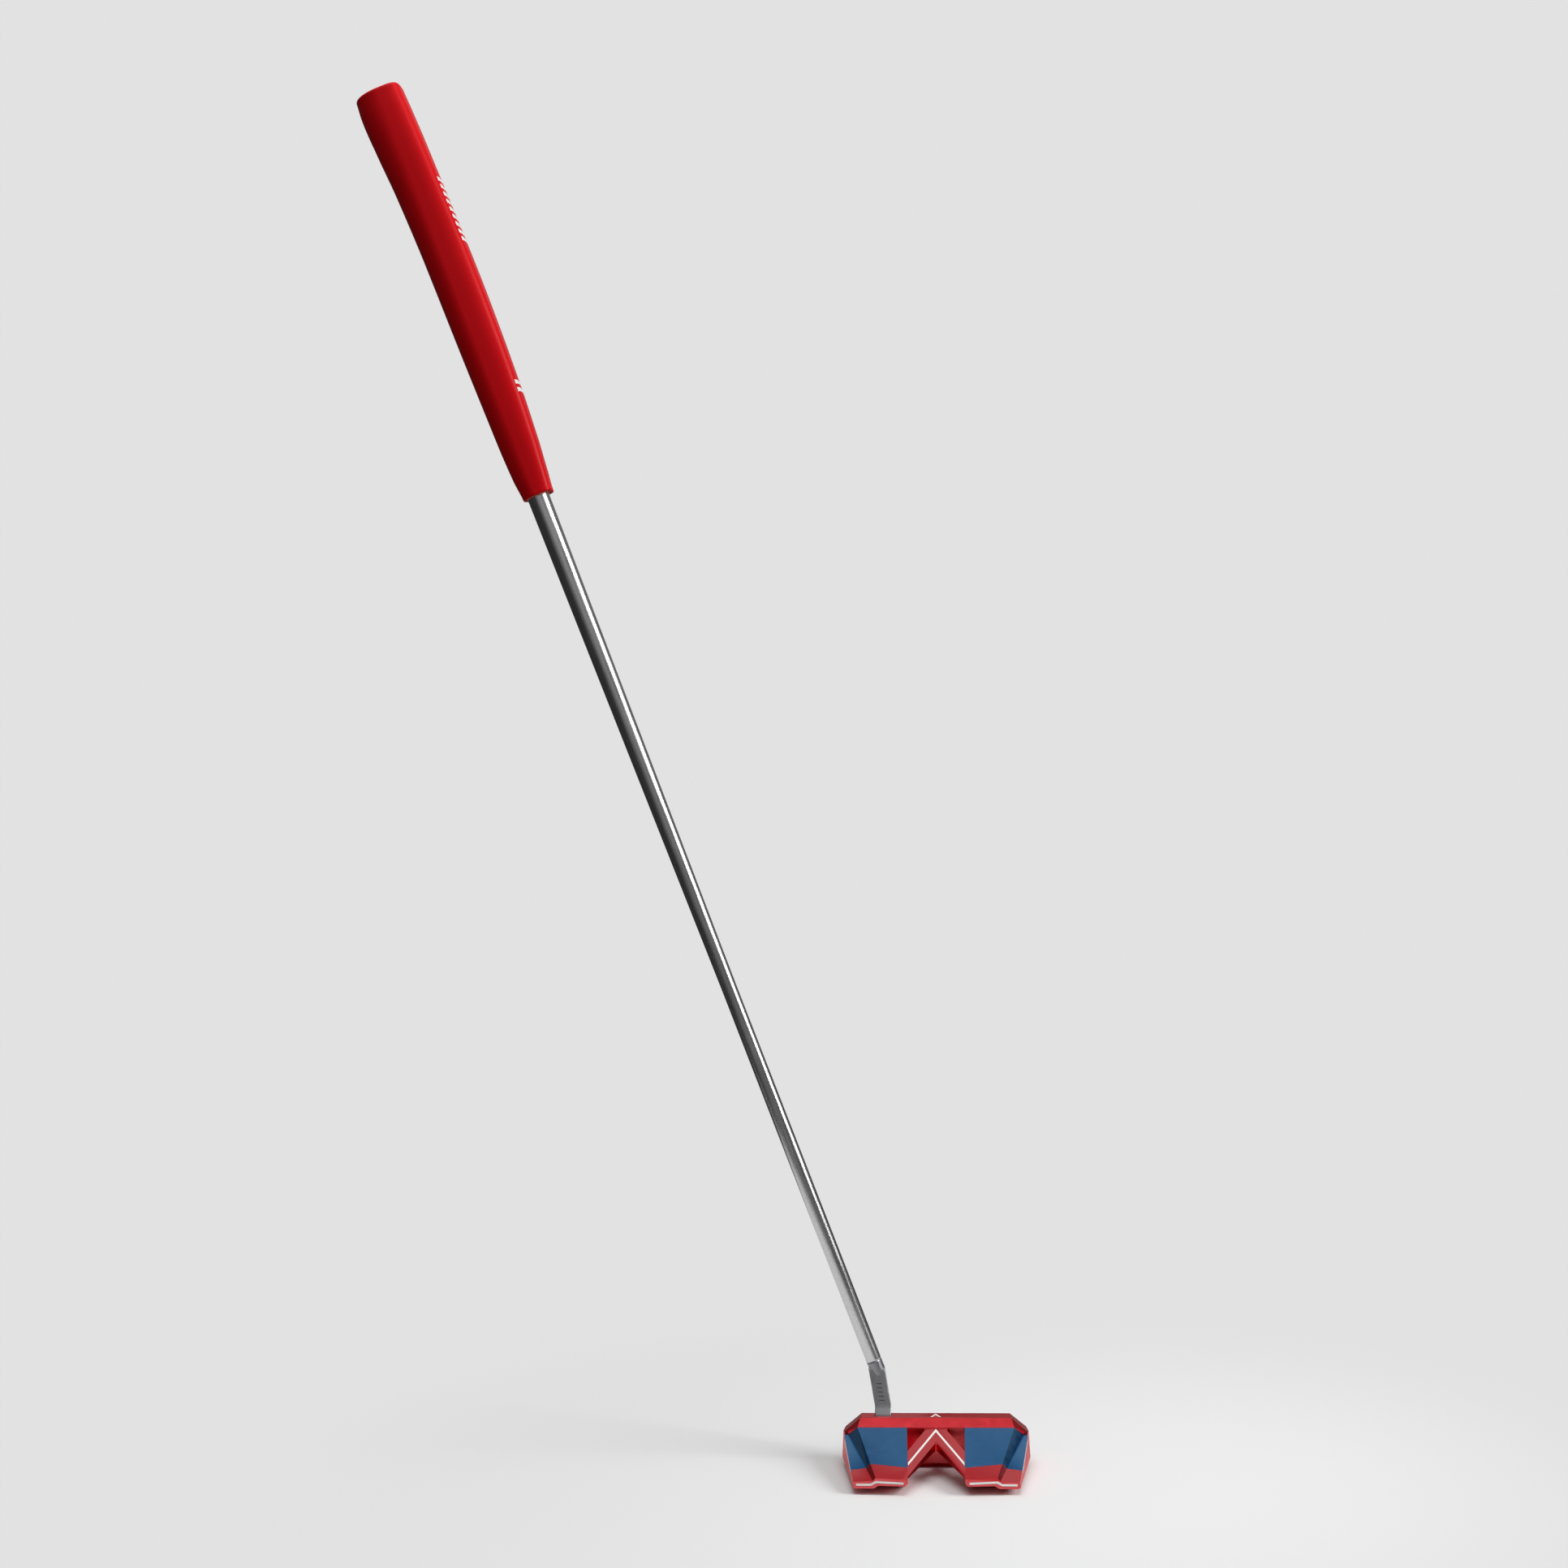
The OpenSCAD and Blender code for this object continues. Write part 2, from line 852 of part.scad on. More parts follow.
module toe_weight() {
    color("dimgray")
        on_side(false)
            weight();
}

module toe_weight_screw() {
    color("darkgray")
        on_side(false)
            weight_screw();
}

module toe_weight_clip() {
    color("black")
        on_side(false)
            weight_clip();
}

// ---------- Neck ----------

// Flat slice of the neck at one height, from its rear edge to its front edge
module neck_slice(x, rear_y, front_y, z) {
    translate([x - neck_w / 2, rear_y, z])
        cube([neck_w, front_y - rear_y, eps]);
}

// Leaning blade from the foot to the bend, "proud" deeper than standard at both faces
module neck_blade(proud) {
    hull() {
        neck_slice(neck_x, neck_rear_y + neck_flare - proud, neck_front_y + neck_front_run + proud, foot_top);
        neck_slice(neck_x - neck_lean, shaft_y - blade_d / 2 - proud, shaft_y + blade_d / 2 + proud, bend_z);
    }
}

module neck() {
    color("gray")
        difference() {
            union() {
                translate([neck_x - neck_w / 2, neck_rear_y, head_h - tenon_depth])
                    cube([neck_w, neck_foot_d, tenon_depth]);
                hull() {
                    neck_slice(neck_x, neck_rear_y, neck_front_y, head_h);
                    neck_slice(neck_x, neck_rear_y + neck_flare, neck_front_y + neck_front_run, foot_top);
                }
                neck_blade(0);
                intersection() {
                    neck_blade(2);
                    along_shaft()
                        translate([0, 0, -joint_down - neck_post]) {
                            sphere(r = tip_r);
                            cylinder(r = tip_r, h = neck_post);
                        }
                }
                along_shaft()
                    translate([0, 0, -joint_down]) {
                        translate([0, 0, -neck_collar])
                            cylinder(r = tip_r, h = neck_collar);
                        cylinder(r = spigot_r, h = spigot_l);
                    }
            }
            translate([neck_x, neck_rear_y + neck_foot_d / 2, head_h - tenon_depth - 1])
                cylinder(r = neck_screw_r, h = neck_bore_l + 1);
        }
}

module neck_screw() {
    top_z = head_h - tenon_depth + neck_bore_l - 1;
    color("silver")
        translate([neck_x, neck_rear_y + neck_foot_d / 2, 0])
            difference() {
                union() {
                    translate([0, 0, neck_screw_low])
                        cylinder(r = neck_head_r, h = neck_head_h);
                    translate([0, 0, neck_screw_low])
                        cylinder(r = neck_screw_r, h = top_z - neck_screw_low);
                }
                translate([0, 0, -1])
                    cylinder(r = neck_screw_r * 0.75, h = 3.4, $fn = 6);
            }
}

// Plain engraved ticks on the neck's rear face
module neck_marks() {
    low = [neck_x, neck_rear_y + neck_flare, foot_top];
    high = [neck_x - neck_lean, shaft_y - blade_d / 2, bend_z];
    count = 5;
    first = 0.16;
    step = 0.11;
    mark_w = neck_w / 3;
    mark_d = 0.12;
    color("dimgray")
        for (i = [0 : count - 1]) {
            place = low + (high - low) * (first + step * i);
            translate(place)
                rotate([-atan2(high[1] - low[1], high[2] - low[2]), 0, 0])
                    translate([-mark_w / 2, -mark_d, 0])
                        cube([mark_w, mark_d, 4 * mark_d]);
        }
}

// ---------- Shaft ----------

// Outer radius of the shaft at a distance from the butt
function shaft_r(down) =
    down < shaft_butt_l ? butt_shaft_r
    : down > shaft_taper_end ? tip_r
    : butt_shaft_r - (butt_shaft_r - tip_r) * (down - shaft_butt_l) / (shaft_taper_end - shaft_butt_l);

module shaft() {
    color("lightgray")
        along_shaft()
            rotate_extrude()
                polygon([
                    [butt_shaft_r - shaft_wall, -shaft_top],
                    [butt_shaft_r, -shaft_top],
                    [butt_shaft_r, -shaft_butt_l],
                    [tip_r, -shaft_taper_end],
                    [tip_r, -joint_down],
                    [tip_r - shaft_wall, -joint_down],
                    [tip_r - shaft_wall, -shaft_taper_end],
                    [butt_shaft_r - shaft_wall, -shaft_butt_l]
                ]);
}

module shaft_bond() {
    color("wheat")
        along_shaft()
            translate([0, 0, -joint_down])
                difference() {
                    cylinder(r = spigot_r + bond_t, h = spigot_l);
                    translate([0, 0, -1])
                        cylinder(r = spigot_r, h = spigot_l + 2);
                }
}

// ---------- Grip ----------

// Smooth value between four neighbouring stations
function blend4(a, b, c, d, s) =
    0.5 * (2 * b + (c - a) * s + (2 * a - 5 * b + 4 * c - d) * s * s + (3 * b - a - 3 * c + d) * s * s * s);

function station(i) = grip_stations[max(0, min(len(grip_stations) - 1, i))];

function interval(share, i = 0) =
    i >= len(grip_stations) - 2 || share <= grip_stations[i + 1][0] ? i : interval(share, i + 1);

// Front, back and side reach of the section at a share of the grip's length
function reach(share) =
    let (i = interval(share))
    let (s = (share - station(i)[0]) / (station(i + 1)[0] - station(i)[0]))
    [for (k = [1 : 3]) blend4(station(i - 1)[k], station(i)[k], station(i + 1)[k], station(i + 2)[k], s)];

// Point of the section at an angle: flat at the front, round at the back
function section_point(size, angle, down) =
    let (c = cos(angle), s = sin(angle))
    let (power = c > 0 ? flat_power : round_power)
    let (x = (c > 0 ? size[0] : size[1]) * sign(c) * pow(abs(c), power))
    let (y = size[2] * sign(s) * pow(abs(s), power))
    [x, y, -down];

// One ring of the grip, "inset" inside the standard surface
function grip_ring(down, inset, sides) =
    let (size = reach(down / grip_l) + (grip_build - inset) * [1, 1, 1])
    [for (k = [0 : sides - 1]) section_point(size, 360 * k / sides, down)];

// Faces between rings that are stacked in order, with both ends closed
function tube_faces(rings, sides) = concat(
    [[for (k = [sides - 1 : -1 : 0]) k]],
    [for (r = [0 : rings - 2]) for (k = [0 : sides - 1])
        [r * sides + k, r * sides + (k + 1) % sides, (r + 1) * sides + (k + 1) % sides, (r + 1) * sides + k]],
    [[for (k = [0 : sides - 1]) (rings - 1) * sides + k]]
);

// Solid of the grip inside its skin, which stops short of the mouth
module grip_core() {
    from = cap_t + 1;
    to = grip_l - 8;
    rings = [for (r = [0 : core_rings])
        grip_ring(from + (to - from) * r / core_rings, skin_t, core_sides)];
    polyhedron(
        points = [for (ring = rings) for (p = ring) p],
        faces = tube_faces(core_rings + 1, core_sides)
    );
}

// Solid outer body, with the butt rim rounded
module grip_outer() {
    rim = [for (i = [0 : butt_steps - 1])
        let (a = 90 * (1 - i / butt_steps))
        grip_ring(butt_r * (1 - sin(a)), butt_r * (1 - cos(a)), grip_sides)];
    body = [for (r = [0 : grip_rings])
        grip_ring(butt_r + (grip_l - butt_r) * r / grip_rings, 0, grip_sides)];
    rings = concat(rim, body);
    polyhedron(
        points = [for (ring = rings) for (p = ring) p],
        faces = tube_faces(len(rings), grip_sides)
    );
}

// Space for the taped shaft
module grip_bore() {
    rotate_extrude()
        polygon([
            [0, -shaft_top],
            [butt_shaft_r + tape_t, -shaft_top],
            [butt_shaft_r + tape_t, -shaft_butt_l],
            [shaft_r(grip_l + 1) + tape_t, -grip_l - 1],
            [0, -grip_l - 1]
        ]);
}

module grip_skin() {
    color("firebrick")
        along_shaft()
            difference() {
                grip_outer();
                grip_core();
                grip_bore();
                translate([0, 0, -cap_t])
                    cylinder(r = cap_r, h = cap_t + 1);
            }
}

module grip_underlisting() {
    color("black")
        along_shaft()
            difference() {
                grip_core();
                grip_bore();
            }
}

module butt_cap() {
    color("firebrick")
        along_shaft()
            difference() {
                translate([0, 0, -cap_t])
                    cylinder(r = cap_r, h = cap_t);
                translate([0, 0, -cap_t - 1])
                    cylinder(r = vent_r, h = cap_t + 2);
            }
}

module grip_tape() {
    color("tan")
        along_shaft()
            rotate_extrude()
                polygon([
                    [butt_shaft_r, -shaft_top],
                    [butt_shaft_r + tape_t, -shaft_top],
                    [butt_shaft_r + tape_t, -shaft_butt_l],
                    [shaft_r(grip_l) + tape_t, -grip_l],
                    [shaft_r(grip_l), -grip_l],
                    [butt_shaft_r, -shaft_butt_l]
                ]);
}

// Plain white ticks on the flat front of the grip: [distance from the butt, length]
module grip_marks() {
    ticks = concat(
        [for (k = [0 : mark_count - 1]) [mark_start + mark_pitch * k, mark_l]],
        [for (k = [0 : 1]) [low_mark_start + mark_pitch * k, mark_l]]
    );
    mark_w = 6.4;
    color("white")
        along_shaft()
            for (tick = ticks) {
                near = reach(tick[0] / grip_l)[0];
                far = reach((tick[0] + tick[1]) / grip_l)[0];
                translate([max(near, far) + grip_build + print_gap, -mark_w / 2, -tick[0] - tick[1]])
                    cube([print_t, mark_w, tick[1]]);
            }
}

head_body();
face_insert();
heel_wing_panel();
toe_wing_panel();
heel_weight();
heel_weight_screw();
heel_weight_clip();
toe_weight();
toe_weight_screw();
toe_weight_clip();
topline_chevron();
brace_sight_line();
heel_rear_line();
toe_rear_line();
heel_side_strip();
toe_side_strip();
neck();
neck_screw();
neck_marks();
shaft();
shaft_bond();
grip_tape();
grip_underlisting();
grip_skin();
butt_cap();
grip_marks();
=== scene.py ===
# Mallet putter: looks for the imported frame, in the frame's own axes.
# Blender works in metres; sizes named below are in millimetres and are multiplied by MM where they are used.
import math

import bmesh
import bpy
from mathutils import Matrix, Vector


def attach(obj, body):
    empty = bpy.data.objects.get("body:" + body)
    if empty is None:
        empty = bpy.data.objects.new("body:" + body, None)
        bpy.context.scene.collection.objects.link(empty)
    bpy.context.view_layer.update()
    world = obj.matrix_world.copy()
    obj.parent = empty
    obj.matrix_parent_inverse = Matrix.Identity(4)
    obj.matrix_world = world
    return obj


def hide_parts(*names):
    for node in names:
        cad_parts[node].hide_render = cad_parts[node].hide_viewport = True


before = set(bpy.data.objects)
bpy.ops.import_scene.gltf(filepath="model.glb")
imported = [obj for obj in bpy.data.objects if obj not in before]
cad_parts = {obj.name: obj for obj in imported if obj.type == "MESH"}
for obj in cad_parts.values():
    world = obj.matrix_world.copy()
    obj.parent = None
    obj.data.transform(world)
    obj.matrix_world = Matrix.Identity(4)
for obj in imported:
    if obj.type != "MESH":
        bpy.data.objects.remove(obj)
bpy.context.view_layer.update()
MM = 0.001


# ---------- Sizes shared with the CAD frame, in millimetres ----------
LIE = 69.5  # degrees from the ground to the shaft
CLUB_LENGTH = 889
SHAFT_Y = 12.8
BUTT = Vector((-326.152, SHAFT_Y, 832.702))
SHAFT_FRAME = Matrix.Translation(BUTT * MM) @ Matrix.Rotation(math.radians(LIE - 90), 4, "Y")

HEAD_H = 28.0
FACE_Y = 8.8
BLOCK_Y = -8.8
TIP_Y = -63.4
TIP_HALF = 47.5
TIP_SWEEP = 2.7
DECK_FRONT_H = 24.2
DECK_REAR_H = 9.5
CREASE_REAR = 34.5
CHANNEL_REAR = 16.4
REAR_FACE_H = 4.1
EDGE_REAR_H = 4.2
SHELF_REAR_H = 7.4
BRACE_DROP = 0.5
BRACE_NOTCH_SET = 14.8
BRACE_TAIL = 4.2
CHEVRON_D, CHEVRON_SPREAD, CHEVRON_LEAD = 5.8, 0.47, 2.5
WEIGHT_CENTRE = (38.0, -6.8)

NECK_X = -31.5
NECK_HALF = 4.8
NECK_LEAN = 3.7
NECK_JOINT = 62.8
TENON_LOW = 20.0
FOOT_H = 4.8
FOOT_TOP = 32.8
FOOT_REAR, FOOT_FRONT = 2.2, 8.4
NECK_FLARE, NECK_FRONT_RUN = 2.6, 1.6
BLADE_REAR, BLADE_FRONT = 4.8, 10.0
BLADE_HALF = (9.4 - 1.6) / 2
BEND_Z = 58.2 * math.sin(math.radians(LIE))

JOINT_DOWN = CLUB_LENGTH - NECK_JOINT
BUTT_SHAFT_R, TIP_R, SHAFT_WALL = 7.35, 4.7, 0.6
SHAFT_TOP, TAPER_START, TAPER_END = 5.0, 180.0, 585.0

GRIP_L = 265.0
BUTT_R = 1.8
VENT_R = 1.5
FLAT_POWER, ROUND_POWER = 0.5, 0.95
MARK_START, MARK_PITCH, MARK_COUNT, MARK_L, LOW_MARK_START = 63.0, 4.9, 9, 2.6, 195.0
# Share of the grip's length, then its reach to the front, to the rear and to each side
GRIP_STATIONS = (
    (0, 12.6, 16.6, 12.8), (0.05, 13.2, 17.4, 13.2), (0.12, 13.9, 16.6, 13.3), (0.23, 14.5, 14.7, 13.0),
    (0.37, 15.2, 13.4, 12.7), (0.49, 15.5, 13.0, 12.5), (0.63, 15.1, 12.7, 12.0), (0.77, 14.0, 12.2, 11.2),
    (0.88, 12.4, 11.7, 10.4), (0.95, 10.8, 10.8, 9.8), (1, 9.6, 9.3, 9.3),
)


# ---------- Materials ----------
def srgb(r, g, b):
    """Linear colour from 0-255 display values."""
    def lin(v):
        v /= 255
        return v / 12.92 if v <= 0.04045 else ((v + 0.055) / 1.055) ** 2.4
    return (lin(r), lin(g), lin(b), 1.0)


class Shader:
    """Small wrapper round one material's node tree. Lengths in it are in metres."""

    def __init__(self, name, metallic=0.0):
        self.mat = bpy.data.materials.new(name)
        self.mat.use_nodes = True
        self.tree = self.mat.node_tree
        self.bsdf = self.tree.nodes["Principled BSDF"]
        self.bsdf.inputs["Metallic"].default_value = metallic
        self.coord = self.tree.nodes.new("ShaderNodeTexCoord")

    def node(self, kind, **values):
        n = self.tree.nodes.new(kind)
        for key, value in values.items():
            if key in n.inputs:
                n.inputs[key].default_value = value
            else:
                setattr(n, key, value)
        return n

    def link(self, a, b):
        self.tree.links.new(a, b)

    def mapped(self, scale):
        m = self.node("ShaderNodeMapping")
        m.inputs["Scale"].default_value = scale
        self.link(self.coord.outputs["Object"], m.inputs["Vector"])
        return m.outputs["Vector"]

    def noise(self, scale, stretch=(1, 1, 1), detail=3.0):
        n = self.node("ShaderNodeTexNoise", Scale=scale, Detail=detail, Roughness=0.55)
        self.link(self.mapped(stretch), n.inputs["Vector"])
        return n.outputs["Fac"]

    def remap(self, value, low, high, from_low=0.3, from_high=0.7):
        r = self.node("ShaderNodeMapRange")
        r.inputs["From Min"].default_value = from_low
        r.inputs["From Max"].default_value = from_high
        r.inputs["To Min"].default_value = low
        r.inputs["To Max"].default_value = high
        self.link(value, r.inputs["Value"])
        return r.outputs["Result"]

    def colours(self, value, low, high, from_low=0.3, from_high=0.7):
        r = self.node("ShaderNodeValToRGB")
        first, last = r.color_ramp.elements
        first.position, first.color = from_low, low
        last.position, last.color = from_high, high
        self.link(value, r.inputs["Fac"])
        return r.outputs["Color"]

    def bump(self, value, height, chain=None):
        b = self.node("ShaderNodeBump", Distance=height, Strength=1.0)
        self.link(value, b.inputs["Height"])
        if chain is not None:
            self.link(chain, b.inputs["Normal"])
        return b.outputs["Normal"]

    def edges(self):
        """0 on flat ground and up to 1 on convex edges, where the painted edge highlight and some wear go."""
        g = self.node("ShaderNodeNewGeometry")
        return self.remap(g.outputs["Pointiness"], 0.0, 1.0, 0.505, 0.58)

    def mix(self, factor, a, b):
        m = self.node("ShaderNodeMix", data_type="RGBA")
        self.link(factor, m.inputs["Factor"])
        for socket, value in ((m.inputs[6], a), (m.inputs[7], b)):
            if isinstance(value, tuple):
                socket.default_value = value
            else:
                self.link(value, socket)
        return m.outputs[2]

    def finish(self, colour, roughness, normal):
        """Link the three textured inputs and give the material."""
        self.link(colour, self.bsdf.inputs["Base Color"])
        self.link(roughness, self.bsdf.inputs["Roughness"])
        self.link(normal, self.bsdf.inputs["Normal"])
        return self.mat


def anodised(name, deep, light, edge, rough, edge_sheen_and_wear):
    """Dyed satin anodised aluminium: fine grain and faint mill streaks, with convex edges painted a lighter
    tone as a painted edge highlight with some wear. edge tints grazing reflections.
    """
    s = Shader(name, metallic=1.0)
    s.bsdf.inputs["Specular Tint"].default_value = edge
    clouded = s.colours(s.noise(55, detail=4), deep, light, 0.25, 0.75)
    grain = s.noise(5200, detail=2)
    streak = s.noise(900, (0.06, 1.0, 1.0), detail=2)
    # Convex edges mixed towards a lighter tone: painted edge highlight, with some wear.
    return s.finish(s.mix(s.edges(), clouded, edge_sheen_and_wear),
                    s.remap(s.noise(180, detail=3), rough - 0.05, rough + 0.07),
                    s.bump(grain, 0.00001, s.bump(streak, 0.000006)))


def steel(name, dark, light, rough, streaks, scale, height=0.000008):
    """Satin steel with fine polishing streaks along one direction."""
    s = Shader(name, metallic=1.0)
    streak = s.noise(scale, streaks, detail=3)
    cloud = s.noise(60, detail=3)
    return s.finish(s.mix(s.remap(cloud, 0.0, 0.4), s.colours(streak, dark, light), light),
                    s.remap(streak, rough - 0.06, rough + 0.08),
                    s.bump(streak, height, s.bump(s.noise(4000, detail=2), height * 0.6)))


def enamel(name, colour, rough=0.3):
    """Paint fill: faint orange peel and slight dirt."""
    s = Shader(name)
    dirt = s.noise(700, detail=4)
    soiled = tuple(c * 0.94 for c in colour[:3]) + (1.0,)
    return s.finish(s.colours(dirt, soiled, colour, 0.2, 0.55),
                    s.remap(dirt, rough - 0.06, rough + 0.12),
                    s.bump(s.noise(1500, detail=2), 0.000015))


def plain(name, dark, light, rough, scale, height, metallic=0.0):
    """One noise for tone, shine and relief."""
    s = Shader(name, metallic)
    value = s.noise(scale, detail=4)
    return s.finish(s.colours(value, dark, light), s.remap(value, rough - 0.08, rough + 0.08),
                    s.bump(value, height))


def turned(name, dark, light, rough):
    """Lathe-turned steel: fine rings about the upright axis of each side's weight."""
    radians_per_metre = 24000.0
    s = Shader(name, metallic=1.0)
    sep = s.node("ShaderNodeSeparateXYZ")
    s.link(s.coord.outputs["Object"], sep.inputs[0])
    side = s.node("ShaderNodeMath", operation="ABSOLUTE")
    s.link(sep.outputs["X"], side.inputs[0])
    level = s.node("ShaderNodeCombineXYZ")
    s.link(side.outputs[0], level.inputs["X"])
    s.link(sep.outputs["Y"], level.inputs["Y"])
    dist = s.node("ShaderNodeVectorMath", operation="DISTANCE")
    s.link(level.outputs[0], dist.inputs[0])
    dist.inputs[1].default_value = (WEIGHT_CENTRE[0] * MM, WEIGHT_CENTRE[1] * MM, 0)
    times = s.node("ShaderNodeMath", operation="MULTIPLY")
    s.link(dist.outputs["Value"], times.inputs[0])
    times.inputs[1].default_value = radians_per_metre
    wave = s.node("ShaderNodeMath", operation="SINE")
    s.link(times.outputs[0], wave.inputs[0])
    return s.finish(s.colours(s.noise(500, detail=3), dark, light),
                    s.remap(s.noise(900, detail=3), rough - 0.06, rough + 0.1),
                    s.bump(wave.outputs[0], 0.000006))


def grip_rubber(name):
    """Satin polyurethane: soft pebble and fine grain, its shine varying along the grip."""
    s = Shader(name)
    s.bsdf.inputs["Specular IOR Level"].default_value = 0.14
    cloud = s.noise(30, (1, 1, 0.35), detail=4)
    pebble = s.node("ShaderNodeTexVoronoi", Scale=1500.0, feature="SMOOTH_F1")
    pebble.inputs["Smoothness"].default_value = 0.7
    s.link(s.mapped((1, 1, 1)), pebble.inputs["Vector"])
    grain = s.bump(s.noise(6000, detail=2), 0.000012)
    return s.finish(s.colours(cloud, (0.58, 0.0008, 0.004, 1), (0.66, 0.0014, 0.006, 1), 0.25, 0.75),
                    s.remap(s.noise(45, (1, 1, 0.3), detail=3), 0.36, 0.47),
                    s.bump(pebble.outputs["Distance"], 0.00002, grain))


# The last colour of each is the lighter edge tone: a painted edge highlight with some wear.
RED = anodised("anodised_red", (0.56, 0.008, 0.016, 1), (0.63, 0.012, 0.022, 1),
               (0.9, 0.7, 0.7, 1), 0.32, (0.72, 0.10, 0.11, 1))
BLUE = anodised("anodised_blue", (0.022, 0.100, 0.262, 1), (0.028, 0.120, 0.30, 1),
                (0.25, 0.42, 0.68, 1), 0.37, (0.12, 0.26, 0.46, 1))
WHITE = enamel("white_enamel", (0.90, 0.86, 0.83, 1))
# Pale silver strips on the wings' outer walls: a painted reflection of the pale backdrop on the side walls.
SIDE_REFLECTION_STRIP = steel("silver_strip", (0.62, 0.63, 0.65, 1), (0.78, 0.79, 0.80, 1), 0.34, (1, 0.05, 1), 1800)
NECK_STEEL = steel("neck_steel", (0.29, 0.295, 0.31, 1), (0.35, 0.355, 0.37, 1), 0.38,
                   (1, 1, 0.06), 1300, 0.00001)
SHAFT_STEEL = steel("shaft_steel", (0.62, 0.62, 0.63, 1), (0.68, 0.68, 0.69, 1), 0.24,
                    (1, 1, 0.02), 1500, 0.000006)
INSERT = steel("insert_metal", (0.40, 0.41, 0.43, 1), (0.52, 0.53, 0.55, 1), 0.38,
               (1, 1, 0.05), 1600, 0.00002)
WEIGHT = turned("turned_weight", (0.26, 0.26, 0.27, 1), (0.38, 0.38, 0.39, 1), 0.36)
SCREW = turned("turned_screw", (0.45, 0.45, 0.46, 1), (0.62, 0.62, 0.62, 1), 0.28)
CLIP = plain("black_oxide", (0.012, 0.012, 0.013, 1), (0.03, 0.03, 0.03, 1), 0.42, 900, 0.00001, 0.6)
MARK = plain("mark_fill", (0.035, 0.035, 0.04, 1), (0.06, 0.06, 0.065, 1), 0.5, 1500, 0.00001)
RUBBER = grip_rubber("grip_rubber")
PRINT = plain("white_print", (0.72, 0.70, 0.68, 1), (0.84, 0.82, 0.80, 1), 0.5, 2500, 0.00001)
FOAM = plain("foam_rubber", (0.012, 0.012, 0.012, 1), (0.03, 0.03, 0.03, 1), 0.85, 2500, 0.00008)
TAPE = plain("paper_tape", (0.42, 0.33, 0.2, 1), (0.52, 0.42, 0.27, 1), 0.8, 1800, 0.00003)
EPOXY = plain("epoxy", (0.5, 0.42, 0.24, 1), (0.6, 0.5, 0.3, 1), 0.35, 500, 0.00001)


# ---------- Mesh helpers ----------
def smooth(mesh):
    for p in mesh.polygons:
        p.use_smooth = True


def smooth_by_angle(obj, degrees):
    smooth(obj.data)
    obj.data.set_sharp_from_angle(angle=math.radians(degrees))


def make_object(name, bm, material, body="club", replaces=(), matrix=None):
    mesh = bpy.data.meshes.new(name)
    bmesh.ops.recalc_face_normals(bm, faces=bm.faces)
    bm.to_mesh(mesh)
    bm.free()
    smooth(mesh)
    mesh.materials.append(material)
    obj = bpy.data.objects.new(name, mesh)
    bpy.context.scene.collection.objects.link(obj)
    if matrix is not None:
        obj.matrix_world = matrix
    bpy.context.view_layer.update()
    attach(obj, body)
    if replaces:
        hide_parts(*replaces)
    return obj


def softened(node, name, material, width):
    """A CAD node's shape with its creases eased by a small real radius."""
    flat_angle, crease_angle = 0.6, 14
    bm = bmesh.new()
    bm.from_mesh(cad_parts[node].data)
    bmesh.ops.remove_doubles(bm, verts=bm.verts, dist=2e-6)
    bmesh.ops.dissolve_limit(bm, angle_limit=math.radians(flat_angle), verts=bm.verts, edges=bm.edges,
                             delimit={"NORMAL"})
    creases = [e for e in bm.edges
               if len(e.link_faces) == 2 and math.degrees(e.calc_face_angle(0)) > crease_angle]
    bmesh.ops.bevel(bm, geom=creases, offset=width * MM, offset_type="OFFSET", segments=3, profile=0.5,
                    affect="EDGES", clamp_overlap=True, miter_outer="SHARP")
    obj = make_object(name, bm, material, replaces=(node,))
    smooth_by_angle(obj, 40)
    normals = obj.modifiers.new("weighted", "WEIGHTED_NORMAL")
    normals.keep_sharp = True
    normals.weight = 80


def bridge(bm, rows):
    """Faces between closed rows of vertices, each row joined to the next."""
    n = len(rows[0])
    for a, b in zip(rows, rows[1:]):
        for k in range(n):
            bm.faces.new((a[k], a[(k + 1) % n], b[(k + 1) % n], b[k]))


def mitred(points, width):
    """Outline of a band of one width along a bent line in a plane."""
    def heading(i):
        d = Vector(points[i + 1]) - Vector(points[i])
        return d.normalized()
    left, right = [], []
    last = len(points) - 1
    for i in range(len(points)):
        a, b = heading(max(i - 1, 0)), heading(min(i, last - 1))
        across = Vector((-a.y - b.y, a.x + b.x))
        across /= across.dot(Vector((-a.y, a.x)))
        left.append(Vector(points[i]) + across * width / 2)
        right.append(Vector(points[i]) - across * width / 2)
    return left, right


def ribbon(points, width, place, sink, lift):
    """Filled band: place(u, v, h) gives a point in mm, h above the surface. The top is slightly domed."""
    dome = ((0, -0.06), (0.12, 0.0), (0.5, 0.03), (0.88, 0.0), (1, -0.06))
    left, right = mitred(points, width)
    bm = bmesh.new()
    rows = []
    for l, r in zip(left, right):
        row = [place(l.x, l.y, -sink)]
        for share, rise in dome:
            q = l.lerp(r, share)
            row.append(place(q.x, q.y, lift + rise))
        row.append(place(r.x, r.y, -sink))
        rows.append([bm.verts.new(Vector(p) * MM) for p in row])
    bridge(bm, rows)
    bm.faces.new(rows[0])
    bm.faces.new(list(reversed(rows[-1])))
    return bm


def lathe(profile, sides):
    """Tube turned about Z from (radius, height) pairs in mm; its profile ends where it starts."""
    bm = bmesh.new()
    turns = [2 * math.pi * k / sides for k in range(sides)]
    bridge(bm, [[bm.verts.new((r * MM * math.cos(a), r * MM * math.sin(a), z * MM)) for a in turns]
                for r, z in profile])
    return bm


